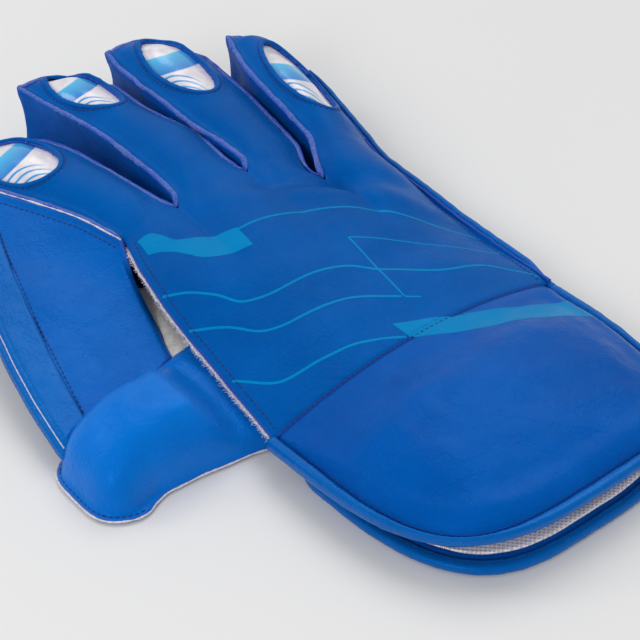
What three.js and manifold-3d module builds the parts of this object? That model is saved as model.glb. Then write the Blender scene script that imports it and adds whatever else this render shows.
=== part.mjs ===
// A right-hand wicketkeeping glove of leather, lying palm down on a floor at z = 0.
// While it is built, x runs across the hand from the thumb side, y from the wrist seam to the fingertips.
import * as THREE from 'three';
import { mergeVertices } from 'three/addons/utils/BufferGeometryUtils.js';
import Module from 'manifold-3d';

const wasm = await Module();
wasm.setup();

// Driving dimensions, in millimetres
const HAND_LENGTH = 205;      // wrist seam to the middle fingertip
const HAND_WIDTH = 128;       // back panel along the wrist seam
const BACK_HEIGHT = 38;       // scale of all heights of the back
const CUFF_LENGTH = 91;       // wrist seam to the end of the cuff
const CUFF_WIDTH = 134;       // cuff over both bindings
const CUFF_CROWN = 17.5;      // rise of the cuff pad above its rim
const CUFF_RIM_HEIGHT = 17.5; // top of the cuff pad's rim at its end
const PALM_CUFF_WIDTH = 124;  // palm side of the cuff over its binding
const PALM_CUFF_LENGTH = 89;
const THUMB_LENGTH = 78;
const THUMB_WIDTH = 34;
const THUMB_HEIGHT = 23;
const PATCH_LENGTH = 40;
const PATCH_WIDTH = 21;
const TRIM_WIDTH = 12;        // strip on the free edge of the web
const BINDING_WIDTH = 4.3;
const BINDING_HEIGHT = 5.6;
const SIDE_BINDING_WIDTH = 3;
const SIDE_BINDING_HEIGHT = 6.5;
const TIP_BULGE = 4;          // how far a fingertip runs out between its two corners
const SEAM_RISE = 2;          // cut edges that stand above the finger backs
const WEB_BOW = 8;            // outward bow of the web's free edge
const WEB_ROLL = 4;           // drop of the web's rolled inner edge

// Thicknesses and clearances, in millimetres
const LEATHER = 2;
const GUSSET = 1.4;
const GUSSET_SAG = 1.5;       // how far a side wall is drawn in at half its height
const FELT = 1.2;
const FELT_SHOW = 0.8;        // felt that stands out at the raw edge
const PALM = 2.5;
const PATCH = 1.2;
const PATCH_LAP = 2;          // patch hidden under the rim of its window
const PAD = 8;
const PAD_EDGE = 3.5;
const CUFF_PALM = 4.5;
const LINING = 1;
const TRIM_PROUD = 0.7;       // trim above and below the web
const BINDING_PROUD = 0.6;    // binding above the rim of the cuff pad
const WALL_FOOT = 1;          // straight part of a side wall above the palm
const WALL_SHOULDER = 1.5;    // straight part of a side wall below the back
const MITRE_LIMIT = 0.42;     // smallest cosine that a mitred corner is stretched by
const THUMB_ROOM = 0.7;       // room between the thumb and the felt above it
const WEB_LAP = 2;            // web that lies under the seam of the index finger
const GAP = 0.35;

// Mesh density
const COLUMNS = 6;
const HAND_ROWS = [0, 0.12, 0.26, 0.42, 0.58, 0.74, 0.88, 1];
const FINGER_ROWS = [0.06, 0.15, 0.28, 0.42, 0.56, 0.7, 0.82, 0.92, 1];
const LOOP_SIDES = 8;

// Roots of the fingers from the thumb side: x by HAND_WIDTH, y by HAND_LENGTH, z by BACK_HEIGHT
const ROOTS = [
  { x: -0.410, y: 0.493, z: 0.763 },
  { x: -0.207, y: 0.507, z: 0.816 },
  { x: 0.059, y: 0.517, z: 0.816 },
  { x: 0.240, y: 0.430, z: 0.711 },
  { x: 0.516, y: 0.468, z: 0.368 },
];

// Edges of the back of the hand, along from the wrist seam to the outermost roots
const RAW_EDGE = [
  { along: 0, x: -0.496, z: 0.316 },
  { along: 0.22, x: -0.488, z: 0.421 },
  { along: 0.45, x: -0.477, z: 0.526 },
  { along: 0.6, x: -0.473, z: 0.605 },
  { along: 0.84, x: -0.445, z: 0.684 },
  { along: 1, x: -0.410, z: 0.763 },
];
const OUTER_EDGE = [
  { along: 0, x: 0.496, z: 0.395 },
  { along: 0.5, x: 0.508, z: 0.342 },
  { along: 1, x: 0.516, z: 0.368 },
];

// Rise of the back of the hand above the line between its edges, by BACK_HEIGHT
const HAND_ARCH = [
  { along: 0, rise: 0.284 },
  { along: 0.3, rise: 0.38 },
  { along: 0.6, rise: 0.44 },
  { along: 1, rise: 0.46 },
];
const ARCH_POWER = 2.1;
const ARCH_BLEND = 0.45;      // where the arch starts to turn into the crowns of the fingers
const FOLD_FADE = { edge: 0.08, root: 0.8 };
const CROWN_POWER = 2.4;

// Fingers from root to tip: x by HAND_WIDTH, y by HAND_LENGTH, z and crown by BACK_HEIGHT
const SECTION_COLUMNS = ['along', 'leftX', 'leftY', 'leftZ', 'rightX', 'rightY', 'rightZ', 'crown'];
const FINGERS = [
  {
    name: 'index',
    rootCrown: 0.079,
    sections: namedRows(SECTION_COLUMNS, [
      [0.06, -0.418, 0.517, 0.763, -0.233, 0.537, 0.816, 0.105],
      [0.25, -0.449, 0.585, 0.789, -0.252, 0.605, 0.816, 0.158],
      [0.5, -0.512, 0.668, 0.816, -0.273, 0.693, 0.816, 0.184],
      [0.75, -0.574, 0.737, 0.842, -0.299, 0.771, 0.829, 0.184],
      [0.92, -0.622, 0.798, 0.85, -0.332, 0.832, 0.816, 0.15],
      [1, -0.645, 0.834, 0.84, -0.389, 0.873, 0.77, 0.08],
    ]),
    patch: { x: -0.474, y: 0.783, long: 0.9, wide: 1.18, lean: 22 },
  },
  {
    name: 'middle',
    rootCrown: 0.105,
    sections: namedRows(SECTION_COLUMNS, [
      [0.06, -0.185, 0.537, 0.816, 0.039, 0.546, 0.8, 0.118],
      [0.25, -0.178, 0.605, 0.829, 0.038, 0.615, 0.8, 0.184],
      [0.5, -0.184, 0.718, 0.862, 0.021, 0.722, 0.81, 0.197],
      [0.75, -0.21, 0.845, 0.88, 0.001, 0.831, 0.82, 0.19],
      [0.92, -0.238, 0.934, 0.875, 0, 0.903, 0.815, 0.16],
      [1, -0.262, 0.978, 0.86, -0.05, 0.946, 0.785, 0.08],
    ]),
    patch: { x: -0.114, y: 0.888, long: 0.93, wide: 0.82, lean: 14 },
  },
  {
    name: 'ring',
    rootCrown: 0.079,
    sections: namedRows(SECTION_COLUMNS, [
      [0.06, 0.081, 0.551, 0.81, 0.222, 0.466, 0.69, 0.105],
      [0.25, 0.08, 0.62, 0.81, 0.285, 0.566, 0.67, 0.18],
      [0.5, 0.064, 0.716, 0.84, 0.305, 0.683, 0.7, 0.205],
      [0.75, 0.057, 0.846, 0.875, 0.318, 0.8, 0.765, 0.2],
      [0.92, 0.056, 0.926, 0.875, 0.325, 0.885, 0.785, 0.165],
      [1, 0.06, 0.974, 0.86, 0.29, 0.938, 0.77, 0.08],
    ]),
    patch: { x: 0.189, y: 0.844, long: 1.16, wide: 0.98, lean: -2 },
  },
  {
    name: 'little',
    rootCrown: 0.316,
    sections: namedRows(SECTION_COLUMNS, [
      [0.06, 0.265, 0.468, 0.705, 0.522, 0.493, 0.368, 0.316],
      [0.25, 0.328, 0.551, 0.74, 0.547, 0.566, 0.395, 0.303],
      [0.5, 0.35, 0.649, 0.8, 0.574, 0.663, 0.447, 0.289],
      [0.75, 0.37, 0.766, 0.85, 0.598, 0.761, 0.526, 0.25],
      [0.92, 0.408, 0.846, 0.87, 0.599, 0.815, 0.566, 0.184],
      [1, 0.426, 0.88, 0.835, 0.556, 0.849, 0.605, 0.09],
    ]),
    patch: { x: 0.468, y: 0.688, long: 1.25, wide: 0.84, lean: -9 },
  },
];

// Broad folds of the back: middle x and reach by HAND_WIDTH, y by HAND_LENGTH, rise by BACK_HEIGHT
const FOLDS = [
  { x: 0.26, y: 0.425, lean: -28, reach: 0.24, width: 0.05, rise: 0.04 },
  { x: -0.36, y: 0.40, lean: 28, reach: 0.09, width: 0.045, rise: -0.045 },
  { x: -0.08, y: 0.30, lean: -12, reach: 0.26, width: 0.06, rise: -0.03 },
  { x: 0.12, y: 0.17, lean: 8, reach: 0.3, width: 0.06, rise: -0.025 },
];

// Bindings: how square their section is, and where the side one ends on the little finger
const LOOP_SOFTNESS = 0.7;
const SIDE_BINDING_END = 0.8;
const SIDE_BINDING_TAPER = 0.4;

// Thumb from hand to tip: edges by THUMB_WIDTH from its axis, rise by THUMB_HEIGHT
const THUMB_BASE_X = -0.426;
const THUMB_AXIS_Y = 0.12;
const THUMB = [
  { along: 0, low: -0.574, high: 0.985, rise: 0.5 },
  { along: 0.2, low: -0.471, high: 0.78, rise: 0.75 },
  { along: 0.35, low: -0.441, high: 0.69, rise: 0.92 },
  { along: 0.55, low: -0.456, high: 0.63, rise: 1 },
  { along: 0.8, low: -0.529, high: 0.62, rise: 1 },
  { along: 1, low: -0.485, high: 0.6, rise: 0.94 },
];
const THUMB_ROUND = 4;
const THUMB_FLANGE = 0.92;    // share of the outline where the dome meets the seam flange
const THUMB_DOME = { power: 3, fullness: 0.52 };
const THUMB_TUCK = { from: 0.16, to: 0.42 }; // where it comes out from under the back
const THUMB_ROWS = [0, 0.08, 0.17, 0.27, 0.38, 0.5, 0.62, 0.74, 0.84, 0.92, 1];
const THUMB_COLUMNS = [-1, -0.93, -0.84, -0.7, -0.5, -0.25, 0, 0.25, 0.5, 0.7, 0.84, 0.93, 1];

// Ends of the web on the thumb: x by HAND_WIDTH, y by HAND_LENGTH, z by THUMB_HEIGHT
const WEB_INNER = { x: -0.508, y: 0.225, z: 0.5 };
const WEB_OUTER = { x: -0.952, y: 0.148, z: 0.36 };
const WEB_ROWS = [1, 0.85, 0.7, 0.56, 0.42, 0.28, 0.14, 0];
const WEB_COLUMNS = 8;
const WEB_SAG = 0.25;         // sag of its inner edge, by WEB_BOW
const WEB_ROLL_END = 0.3;     // share of its width where the rolled inner edge is full

// Cuff pad: height of its rim from the wrist seam to its end, by CUFF_RIM_HEIGHT
const CUFF_ROUND = 3;
const RIM = [
  { along: 0, z: 0.77 },
  { along: 0.25, z: 0.86 },
  { along: 0.6, z: 0.92 },
  { along: 0.85, z: 1.02 },
  { along: 1, z: 1.14 },
];
const CUFF_POWER = 3.2;
const CUFF_STEPS = [0, 0.14, 0.28, 0.42, 0.56, 0.7, 0.84, 1];
const CUFF_COLUMNS = 14;

const BLUE = { color: 0x1450b8, roughness: 0.42, metalness: 0 };
const LIGHT_BLUE = { color: 0x1c6fc4, roughness: 0.38, metalness: 0 };
const WHITE_PRINT = { color: 0xe6e2e6, roughness: 0.25, metalness: 0 };
const PALE_FELT = { color: 0xd9d6cf, roughness: 0.95, metalness: 0 };
const WHITE_MESH = { color: 0xe9e6ea, roughness: 0.9, metalness: 0 };

const lerp = THREE.MathUtils.lerp;
const vec = (x, y, z) => new THREE.Vector3(x, y, z);

function ease(from, to, at) {
  return THREE.MathUtils.smoothstep(at, from, to);
}

function namedRows(columns, rows) {
  return rows.map((row) => Object.fromEntries(columns.map((column, i) => [column, row[i]])));
}

// Value of one column of a table at a share along it, by a cubic that doesn't overshoot
function follow(rows, key, at) {
  const last = rows.length - 1;
  const slope = (i) => (rows[i + 1][key] - rows[i][key]) / (rows[i + 1].along - rows[i].along);
  const tangent = (i) => {
    if (i === 0) return slope(0);
    if (i === last) return slope(last - 1);
    const before = slope(i - 1);
    const after = slope(i);
    return before * after > 0 ? (2 * before * after) / (before + after) : 0;
  };
  let i = 0;
  while (i < last - 1 && at > rows[i + 1].along) i += 1;
  const width = rows[i + 1].along - rows[i].along;
  const t = (at - rows[i].along) / width;
  const start = (2 * t ** 3 - 3 * t ** 2 + 1) * rows[i][key] + (t ** 3 - 2 * t ** 2 + t) * width * tangent(i);
  const end = (3 * t ** 2 - 2 * t ** 3) * rows[i + 1][key] + (t ** 3 - t ** 2) * width * tangent(i + 1);
  return start + end;
}

// Maps a square, u from -1 to 1 and v from 0 to 1, onto half a superellipse
function roundedEnd(u, v, power) {
  const across = u * (1 - v ** power / 2) ** (1 / power);
  const along = v * (1 - Math.abs(u) ** power / 2) ** (1 / power);
  const reach = (Math.abs(across) ** power + along ** power) ** (1 / power);
  return { across, along, reach };
}

// An open surface of cells that share their corners, each in a named zone
class Sheet {
  constructor() {
    this.points = [];
    this.cells = [];
    this.known = new Map();
  }

  add(point) {
    const key = point.toArray().map((c) => c.toFixed(3)).join(' ');
    if (!this.known.has(key)) {
      this.known.set(key, this.points.length);
      this.points.push(point);
    }
    return this.known.get(key);
  }

  addGrid(rows, zone) {
    const ids = rows.map((row) => row.map((point) => this.add(point)));
    for (let i = 0; i + 1 < ids.length; i += 1) {
      for (let j = 0; j + 1 < ids[i].length; j += 1) {
        const corners = [ids[i][j], ids[i][j + 1], ids[i + 1][j + 1], ids[i + 1][j]];
        this.cells.push({ corners, zone });
      }
    }
    return this;
  }

  triangles(zone) {
    return this.cells
      .filter((cell) => zone === undefined || cell.zone === zone)
      .flatMap(({ corners: [a, b, c, d] }) => [[a, b, c], [a, c, d]]);
  }

  // Normals of the points, straight up along the rim
  normals() {
    const sums = this.points.map(() => vec(0, 0, 0));
    const triangles = this.triangles();
    for (const [a, b, c] of triangles) {
      const p = this.points[a];
      const normal = this.points[b].clone().sub(p).cross(this.points[c].clone().sub(p));
      [a, b, c].forEach((id) => sums[id].add(normal));
    }
    rimEdges(triangles, this.points.length).flat().forEach((id) => sums[id].set(0, 0, 1));
    return sums.map((sum) => sum.normalize());
  }
}

// Edges that only one triangle has, in that triangle's order
function rimEdges(triangles, count) {
  const edges = triangles.flatMap(([a, b, c]) => [[a, b], [b, c], [c, a]]);
  const known = new Set(edges.map(([from, to]) => from * count + to));
  return edges.filter(([from, to]) => !known.has(to * count + from));
}

function closedGeometry(points, triangles) {
  const geometry = new THREE.BufferGeometry();
  const coordinates = points.flatMap((point) => point.toArray());
  geometry.setAttribute('position', new THREE.Float32BufferAttribute(coordinates, 3));
  geometry.setIndex(triangles.flat());
  return geometry;
}

// Closes two faces of the same cells, the upper one seen counterclockwise from outside
function closeFaces(upper, lower, triangles) {
  const count = upper.length;
  const faces = triangles.flatMap(([a, b, c]) => [[a, b, c], [c + count, b + count, a + count]]);
  for (const [from, to] of rimEdges(triangles, count)) {
    faces.push([from, from + count, to + count], [from, to + count, to]);
  }
  return closedGeometry([...upper, ...lower], faces);
}

// Gives a zone of a sheet two faces, at two heights above it along the sheet's normals
function thicken(sheet, top, bottom, zone) {
  const normals = sheet.normals();
  const triangles = sheet.triangles(zone);
  const used = [...new Set(triangles.flat())];
  const order = new Map(used.map((id, i) => [id, i]));
  const shift = (height) => used.map((id) => sheet.points[id].clone().addScaledVector(normals[id], height));
  return closeFaces(shift(top), shift(bottom), triangles.map((ids) => ids.map((id) => order.get(id))));
}

// Gives rows of points two faces, at two heights straight above them
function thickenUpright(rows, top, bottom) {
  const shift = (height) => rows.map((row) => row.map((p) => vec(p.x, p.y, p.z + height)));
  return fillBetween(shift(top), shift(bottom));
}

function fillBetween(upperRows, lowerRows) {
  const width = upperRows[0].length;
  const triangles = [];
  for (let i = 0; i + 1 < upperRows.length; i += 1) {
    for (let j = 0; j + 1 < width; j += 1) {
      const corner = i * width + j;
      triangles.push([corner, corner + 1, corner + width + 1], [corner, corner + width + 1, corner + width]);
    }
  }
  return closeFaces(upperRows.flat(), lowerRows.flat(), triangles);
}

// Joins closed loops of equally many points into a capped tube
function sweep(loops) {
  const sides = loops[0].length;
  const faces = [];
  for (let i = 0; i + 1 < loops.length; i += 1) {
    for (let j = 0; j < sides; j += 1) {
      const a = i * sides + j;
      const b = i * sides + ((j + 1) % sides);
      faces.push([a, b, b + sides], [a, b + sides, a + sides]);
    }
  }
  const end = (loops.length - 1) * sides;
  for (let j = 1; j + 1 < sides; j += 1) {
    faces.push([0, j + 1, j], [end, end + j, end + j + 1]);
  }
  return closedGeometry(loops.flat(), faces);
}

function toSolid(geometry) {
  const bare = geometry.clone();
  bare.deleteAttribute('normal');
  bare.deleteAttribute('uv');
  const merged = mergeVertices(bare, 1e-4);
  return new wasm.Manifold(new wasm.Mesh({
    numProp: 3,
    vertProperties: merged.attributes.position.array,
    triVerts: Uint32Array.from(merged.index.array),
  }));
}

function toGeometry(solid) {
  const mesh = solid.getMesh();
  const geometry = new THREE.BufferGeometry();
  geometry.setAttribute('position', new THREE.BufferAttribute(mesh.vertProperties, 3));
  geometry.setIndex(new THREE.BufferAttribute(mesh.triVerts, 1));
  return geometry;
}

function subtractAll(geometry, tools) {
  const cut = tools.reduce((solid, tool) => solid.subtract(toSolid(tool)), toSolid(geometry));
  return toGeometry(cut);
}

// Sections of a finger with the one at its root, where it meets its neighbours
function fingerSections(f) {
  const left = ROOTS[f];
  const right = ROOTS[f + 1];
  const root = {
    along: 0,
    leftX: left.x, leftY: left.y, leftZ: left.z,
    rightX: right.x, rightY: right.y, rightZ: right.z,
    crown: FINGERS[f].rootCrown,
  };
  return [root, ...FINGERS[f].sections];
}

function fingerHeight(f, u, v) {
  const sections = fingerSections(f);
  const edge = lerp(follow(sections, 'leftZ', v), follow(sections, 'rightZ', v), u);
  const crown = follow(sections, 'crown', v) * (1 - Math.abs(2 * u - 1) ** CROWN_POWER);
  return (edge + crown) * BACK_HEIGHT;
}

function fingerPoint(f, u, v) {
  const sections = fingerSections(f);
  const at = (key) => follow(sections, key, v);
  const x = lerp(at('leftX'), at('rightX'), u) * HAND_WIDTH;
  const y = lerp(at('leftY'), at('rightY'), u) * HAND_LENGTH;
  const tip = sections.at(-1);
  const root = sections[0];
  const toTip = vec(
    (tip.leftX + tip.rightX - root.leftX - root.rightX) * HAND_WIDTH,
    (tip.leftY + tip.rightY - root.leftY - root.rightY) * HAND_LENGTH,
    0,
  ).normalize();
  const bulge = TIP_BULGE * (1 - (2 * u - 1) ** 2) * ease(0.7, 1, v);
  return vec(x + bulge * toTip.x, y + bulge * toTip.y, fingerHeight(f, u, v));
}

// Lines that run from the wrist seam to the roots of the fingers
function handLine(i, a) {
  const start = GAP / 2;
  const y = lerp(start, ROOTS[i].y * HAND_LENGTH, a);
  if (i === 0) return { x: follow(RAW_EDGE, 'x', a) * HAND_WIDTH, y };
  if (i === ROOTS.length - 1) return { x: follow(OUTER_EDGE, 'x', a) * HAND_WIDTH, y };
  const wrist = lerp(RAW_EDGE[0].x, OUTER_EDGE[0].x, i / (ROOTS.length - 1));
  return { x: lerp(wrist, ROOTS[i].x, a) * HAND_WIDTH, y };
}

function archHeight(s, a) {
  const edge = lerp(follow(RAW_EDGE, 'z', a), follow(OUTER_EDGE, 'z', a), s);
  const rise = follow(HAND_ARCH, 'rise', a) * (1 - Math.abs(2 * s - 1) ** ARCH_POWER);
  return (edge + rise) * BACK_HEIGHT;
}

function foldHeight(x, y, s) {
  const rises = FOLDS.map((fold) => {
    const lean = THREE.MathUtils.degToRad(fold.lean);
    const dx = x - fold.x * HAND_WIDTH;
    const dy = y - fold.y * HAND_LENGTH;
    const along = (dx * Math.cos(lean) + dy * Math.sin(lean)) / (fold.reach * HAND_WIDTH);
    const across = (dy * Math.cos(lean) - dx * Math.sin(lean)) / (fold.width * HAND_WIDTH);
    return fold.rise * Math.exp(-(along ** 2) - across ** 2);
  });
  const total = rises.reduce((sum, rise) => sum + rise, 0);
  return total * BACK_HEIGHT * ease(0, FOLD_FADE.edge, s) * ease(1, 1 - FOLD_FADE.edge, s);
}

function handPoint(f, u, a) {
  const left = handLine(f, a);
  const right = handLine(f + 1, a);
  const x = lerp(left.x, right.x, u);
  const y = lerp(left.y, right.y, u);
  const raw = handLine(0, a).x;
  const outer = handLine(ROOTS.length - 1, a).x;
  const s = (x - raw) / (outer - raw);
  const z = lerp(archHeight(s, a), fingerHeight(f, u, 0), ease(ARCH_BLEND, 1, a));
  return vec(x, y, z + foldHeight(x, y, s) * ease(1, FOLD_FADE.root, a));
}

function handRows(f) {
  return HAND_ROWS.map((a) => {
    return Array.from({ length: COLUMNS + 1 }, (_, j) => handPoint(f, j / COLUMNS, a));
  });
}

function fingerRows(f) {
  return FINGER_ROWS.map((v) => {
    return Array.from({ length: COLUMNS + 1 }, (_, j) => fingerPoint(f, j / COLUMNS, v));
  });
}

// The outer surface of the back, with a zone for the hand and one for each finger
function backSheet() {
  const sheet = new Sheet();
  FINGERS.forEach((finger, f) => {
    const hand = handRows(f);
    sheet.addGrid(hand, 'hand').addGrid([hand.at(-1), ...fingerRows(f)], finger.name);
  });
  return sheet;
}

function windowTool(finger, lap) {
  const { x, y, long, wide, lean } = finger.patch;
  const shape = new THREE.Shape();
  const turn = THREE.MathUtils.degToRad(lean);
  shape.absellipse(
    x * HAND_WIDTH, y * HAND_LENGTH,
    (wide * PATCH_WIDTH) / 2 + lap, (long * PATCH_LENGTH) / 2 + lap,
    0, 2 * Math.PI, false, turn,
  );
  return new THREE.ExtrudeGeometry(shape, { depth: 2 * BACK_HEIGHT, bevelEnabled: false, curveSegments: 10 });
}

function makeBackPanel() {
  return subtractAll(thicken(backSheet(), 0, -LEATHER), FINGERS.map((finger) => windowTool(finger, 0)));
}

function makePatch(finger) {
  const top = -(LEATHER + GAP);
  const layer = toSolid(thicken(backSheet(), top, top - PATCH, finger.name));
  return toGeometry(layer.intersect(toSolid(windowTool(finger, PATCH_LAP))));
}

function makeBackFelt() {
  const sheet = backSheet();
  const top = -(LEATHER + GAP);
  const onRawEdge = (point) => HAND_ROWS.some((a) => a < 1 && handPoint(0, 0, a).distanceTo(point) < GAP);
  sheet.points.filter(onRawEdge).forEach((point) => { point.x -= FELT_SHOW; });
  return thicken(sheet, top, top - FELT, 'hand');
}

// Rim of a finger's back from its root to the middle of its tip, on the left or the right side
function fingerRim(f, side) {
  const edge = FINGER_ROWS.map((v) => fingerPoint(f, side, v));
  const tip = Array.from({ length: COLUMNS / 2 }, (_, j) => {
    const u = (j + 1) / COLUMNS;
    return fingerPoint(f, side === 0 ? u : 1 - u, 1);
  });
  return trimEnd([...edge, ...tip]);
}

function outerHandEdge() {
  return HAND_ROWS.slice().reverse().map((a) => handPoint(FINGERS.length - 1, 1, a));
}

// Directions in plan that lead away from the glove, to the left of each path's heading
function outwardOf(path) {
  return path.map((point, i) => {
    const before = path[Math.max(i - 1, 0)];
    const after = path[Math.min(i + 1, path.length - 1)];
    const headings = [point.clone().sub(before), after.clone().sub(point)]
      .map((heading) => heading.setZ(0))
      .filter((heading) => heading.length() > 0)
      .map((heading) => vec(-heading.y, heading.x, 0).normalize());
    const middle = headings.reduce((sum, heading) => sum.add(heading), vec(0, 0, 0)).normalize();
    return middle.divideScalar(Math.max(middle.dot(headings[0]), MITRE_LIMIT));
  });
}

// Takes half a gap off the end of a path, where two side walls meet at a fingertip
function trimEnd(path) {
  const [before, last] = path.slice(-2);
  const shortened = last.clone().lerp(before, GAP / last.distanceTo(before));
  return [...path.slice(0, -1), shortened];
}

// A side wall that stands on the floor just outside a path and rises above it
function makeWall(path) {
  const outward = outwardOf(path);
  const face = (offset) => path.map((point, i) => {
    const top = point.z + SEAM_RISE;
    const shoulder = point.z - LEATHER - WALL_SHOULDER;
    const foot = PALM + WALL_FOOT;
    const levels = [[0, 0], [foot, 0], [(foot + shoulder) / 2, GUSSET_SAG], [shoulder, 0], [top, 0]];
    return levels.map(([z, sag]) => {
      return vec(point.x, point.y, z).addScaledVector(outward[i], offset - sag);
    });
  });
  return fillBetween(face(GAP + GUSSET), face(GAP));
}

function makeGussetBetween(f) {
  const down = fingerRim(f, 1).reverse();
  const root = handPoint(f, 1, 1);
  return makeWall([...down, root, ...fingerRim(f + 1, 0)]);
}

function makeIndexOuterGusset() {
  return makeWall([handPoint(0, 0, 1), ...fingerRim(0, 0)]);
}

function makeSideWall() {
  return makeWall([...fingerRim(FINGERS.length - 1, 1).reverse(), ...outerHandEdge()]);
}

// Points of a rounded section between two offsets and two heights
function roundedLoop(point, outward, near, far, low, high) {
  return Array.from({ length: LOOP_SIDES }, (_, j) => {
    const angle = ((j + 0.5) / LOOP_SIDES) * 2 * Math.PI;
    const soften = (value) => Math.sign(value) * Math.abs(value) ** LOOP_SOFTNESS;
    const across = lerp(near, far, 0.5 + soften(Math.cos(angle)) / 2);
    const z = lerp(low, high, 0.5 + soften(Math.sin(angle)) / 2);
    return vec(point.x, point.y, z).addScaledVector(outward, across);
  });
}

function makeSideBinding() {
  const little = FINGERS.length - 1;
  const onFinger = FINGER_ROWS.filter((v) => v < SIDE_BINDING_END).reverse().map((v) => fingerPoint(little, 1, v));
  const path = [...onFinger, ...outerHandEdge()];
  const outward = outwardOf(path);
  const near = GAP + GUSSET + GAP;
  const loops = path.map((point, i) => {
    const fade = i === 0 ? SIDE_BINDING_TAPER : 1;
    const far = near + SIDE_BINDING_WIDTH * fade;
    const high = point.z + 1;
    return roundedLoop(point, outward[i], near, far, high - SIDE_BINDING_HEIGHT * fade, high);
  });
  return sweep(loops);
}

function thumbOutline(u, v) {
  const { across, along, reach } = roundedEnd(u, v, THUMB_ROUND);
  const low = follow(THUMB, 'low', v) * THUMB_WIDTH;
  const high = follow(THUMB, 'high', v) * THUMB_WIDTH;
  const x = THUMB_BASE_X * HAND_WIDTH - along * THUMB_LENGTH;
  const y = THUMB_AXIS_Y * HAND_LENGTH + (low + high) / 2 + (across * (high - low)) / 2;
  return { x, y, reach };
}

function thumbPoint(u, v) {
  const { x, y, reach } = thumbOutline(u, v);
  const floor = PALM + GAP + LEATHER;
  const edge = follow(RAW_EDGE, 'z', THREE.MathUtils.clamp(y / (ROOTS[0].y * HAND_LENGTH), 0, 1)) * BACK_HEIGHT;
  const roomUnderBack = edge - LEATHER - GAP - FELT - GAP - floor - THUMB_ROOM;
  const rise = lerp(roomUnderBack, follow(THUMB, 'rise', v) * THUMB_HEIGHT, ease(THUMB_TUCK.from, THUMB_TUCK.to, v));
  const dome = (1 - Math.min(reach / THUMB_FLANGE, 1) ** THUMB_DOME.power) ** THUMB_DOME.fullness;
  return vec(x, y, floor + rise * dome);
}

function thumbSheet() {
  return new Sheet().addGrid(THUMB_COLUMNS.map((u) => THUMB_ROWS.map((v) => thumbPoint(u, v)).reverse()));
}

function makeThumbBack() {
  return thicken(thumbSheet(), 0, -LEATHER);
}

// The whole space that the thumb fills, with the clearance that its neighbours keep
function thumbEnvelope() {
  const sheet = thumbSheet();
  const normals = sheet.normals();
  const upper = sheet.points.map((p, i) => p.clone().addScaledVector(normals[i], GAP));
  const lower = upper.map((p) => vec(p.x, p.y, -PALM));
  return closeFaces(upper, lower, sheet.triangles());
}

function webTopEdge(t) {
  const step = 0.02;
  const here = fingerPoint(0, 0, t);
  const near = fingerPoint(0, 0, t > 0.5 ? t - step : t + step);
  const heading = (t > 0.5 ? here.clone().sub(near) : near.clone().sub(here)).setZ(0).normalize();
  const outward = vec(-heading.y, heading.x, 0);
  const point = here.addScaledVector(outward, GAP + GUSSET + GAP);
  point.z += SEAM_RISE / 2;
  return point;
}

function webPoint(t, s) {
  const end = (place) => vec(place.x * HAND_WIDTH, place.y * HAND_LENGTH, place.z * THUMB_HEIGHT);
  const onThumb = end(WEB_INNER).lerp(end(WEB_OUTER), t);
  const point = webTopEdge(t).lerp(onThumb, s);
  const bow = 4 * s * (1 - s) * t * t;
  point.x -= WEB_BOW * bow;
  point.z -= WEB_BOW * WEB_SAG * 4 * s * (1 - s) * (1 - t);
  return point;
}

function trimStart(s) {
  return 1 - TRIM_WIDTH / webPoint(1, s).distanceTo(webPoint(0, s));
}

function makeWebPanel() {
  const rows = WEB_ROWS.map((s) => {
    const end = trimStart(s) - GAP / HAND_WIDTH;
    const row = Array.from({ length: WEB_COLUMNS + 1 }, (_, j) => webPoint((end * j) / WEB_COLUMNS, s));
    const rolled = row[0].clone().sub(vec(0, 0, WEB_ROLL * ease(0, WEB_ROLL_END, s)));
    rolled.x -= GAP;
    row[0].x -= WEB_LAP;
    return [...row.reverse(), rolled];
  });
  return subtractAll(thickenUpright(rows, LEATHER / 2, -LEATHER / 2), [thumbEnvelope()]);
}

function makeWebTrim() {
  const rows = WEB_ROWS.map((s) => {
    const start = trimStart(s) + GAP / HAND_WIDTH;
    return [1, 0.66, 0.33, 0].map((share) => webPoint(lerp(start, 1, share), s));
  });
  const half = LEATHER / 2 + TRIM_PROUD;
  return subtractAll(thickenUpright(rows, half, -half), [thumbEnvelope()]);
}

function palmOutline() {
  const rim = [handPoint(0, 0, 1), ...fingerRim(0, 0)];
  FINGERS.forEach((_, f) => {
    if (f > 0) rim.push(...fingerRim(f, 0));
    rim.push(...fingerRim(f, 1).reverse().slice(1));
    if (f + 1 < FINGERS.length) rim.push(handPoint(f, 1, 1));
  });
  const rawEdge = HAND_ROWS.slice(0, -1).map((a) => handPoint(0, 0, a));
  return [...rawEdge, ...rim, ...outerHandEdge()];
}

function slab(outline, thickness, base) {
  const shape = new THREE.Shape(outline.map((point) => new THREE.Vector2(point.x, point.y)));
  return new THREE.ExtrudeGeometry(shape, { depth: thickness, bevelEnabled: false }).translate(0, 0, base);
}

function makePalmPanel() {
  const low = THUMB_ROWS.map((v) => thumbOutline(-1, v));
  const tip = THUMB_COLUMNS.slice(1, -1).map((u) => thumbOutline(u, 1));
  const high = THUMB_ROWS.slice().reverse().map((v) => thumbOutline(1, v));
  const hand = toSolid(slab(palmOutline(), PALM, 0));
  return toGeometry(hand.add(toSolid(slab([...low, ...tip, ...high], PALM, 0))));
}

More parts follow.
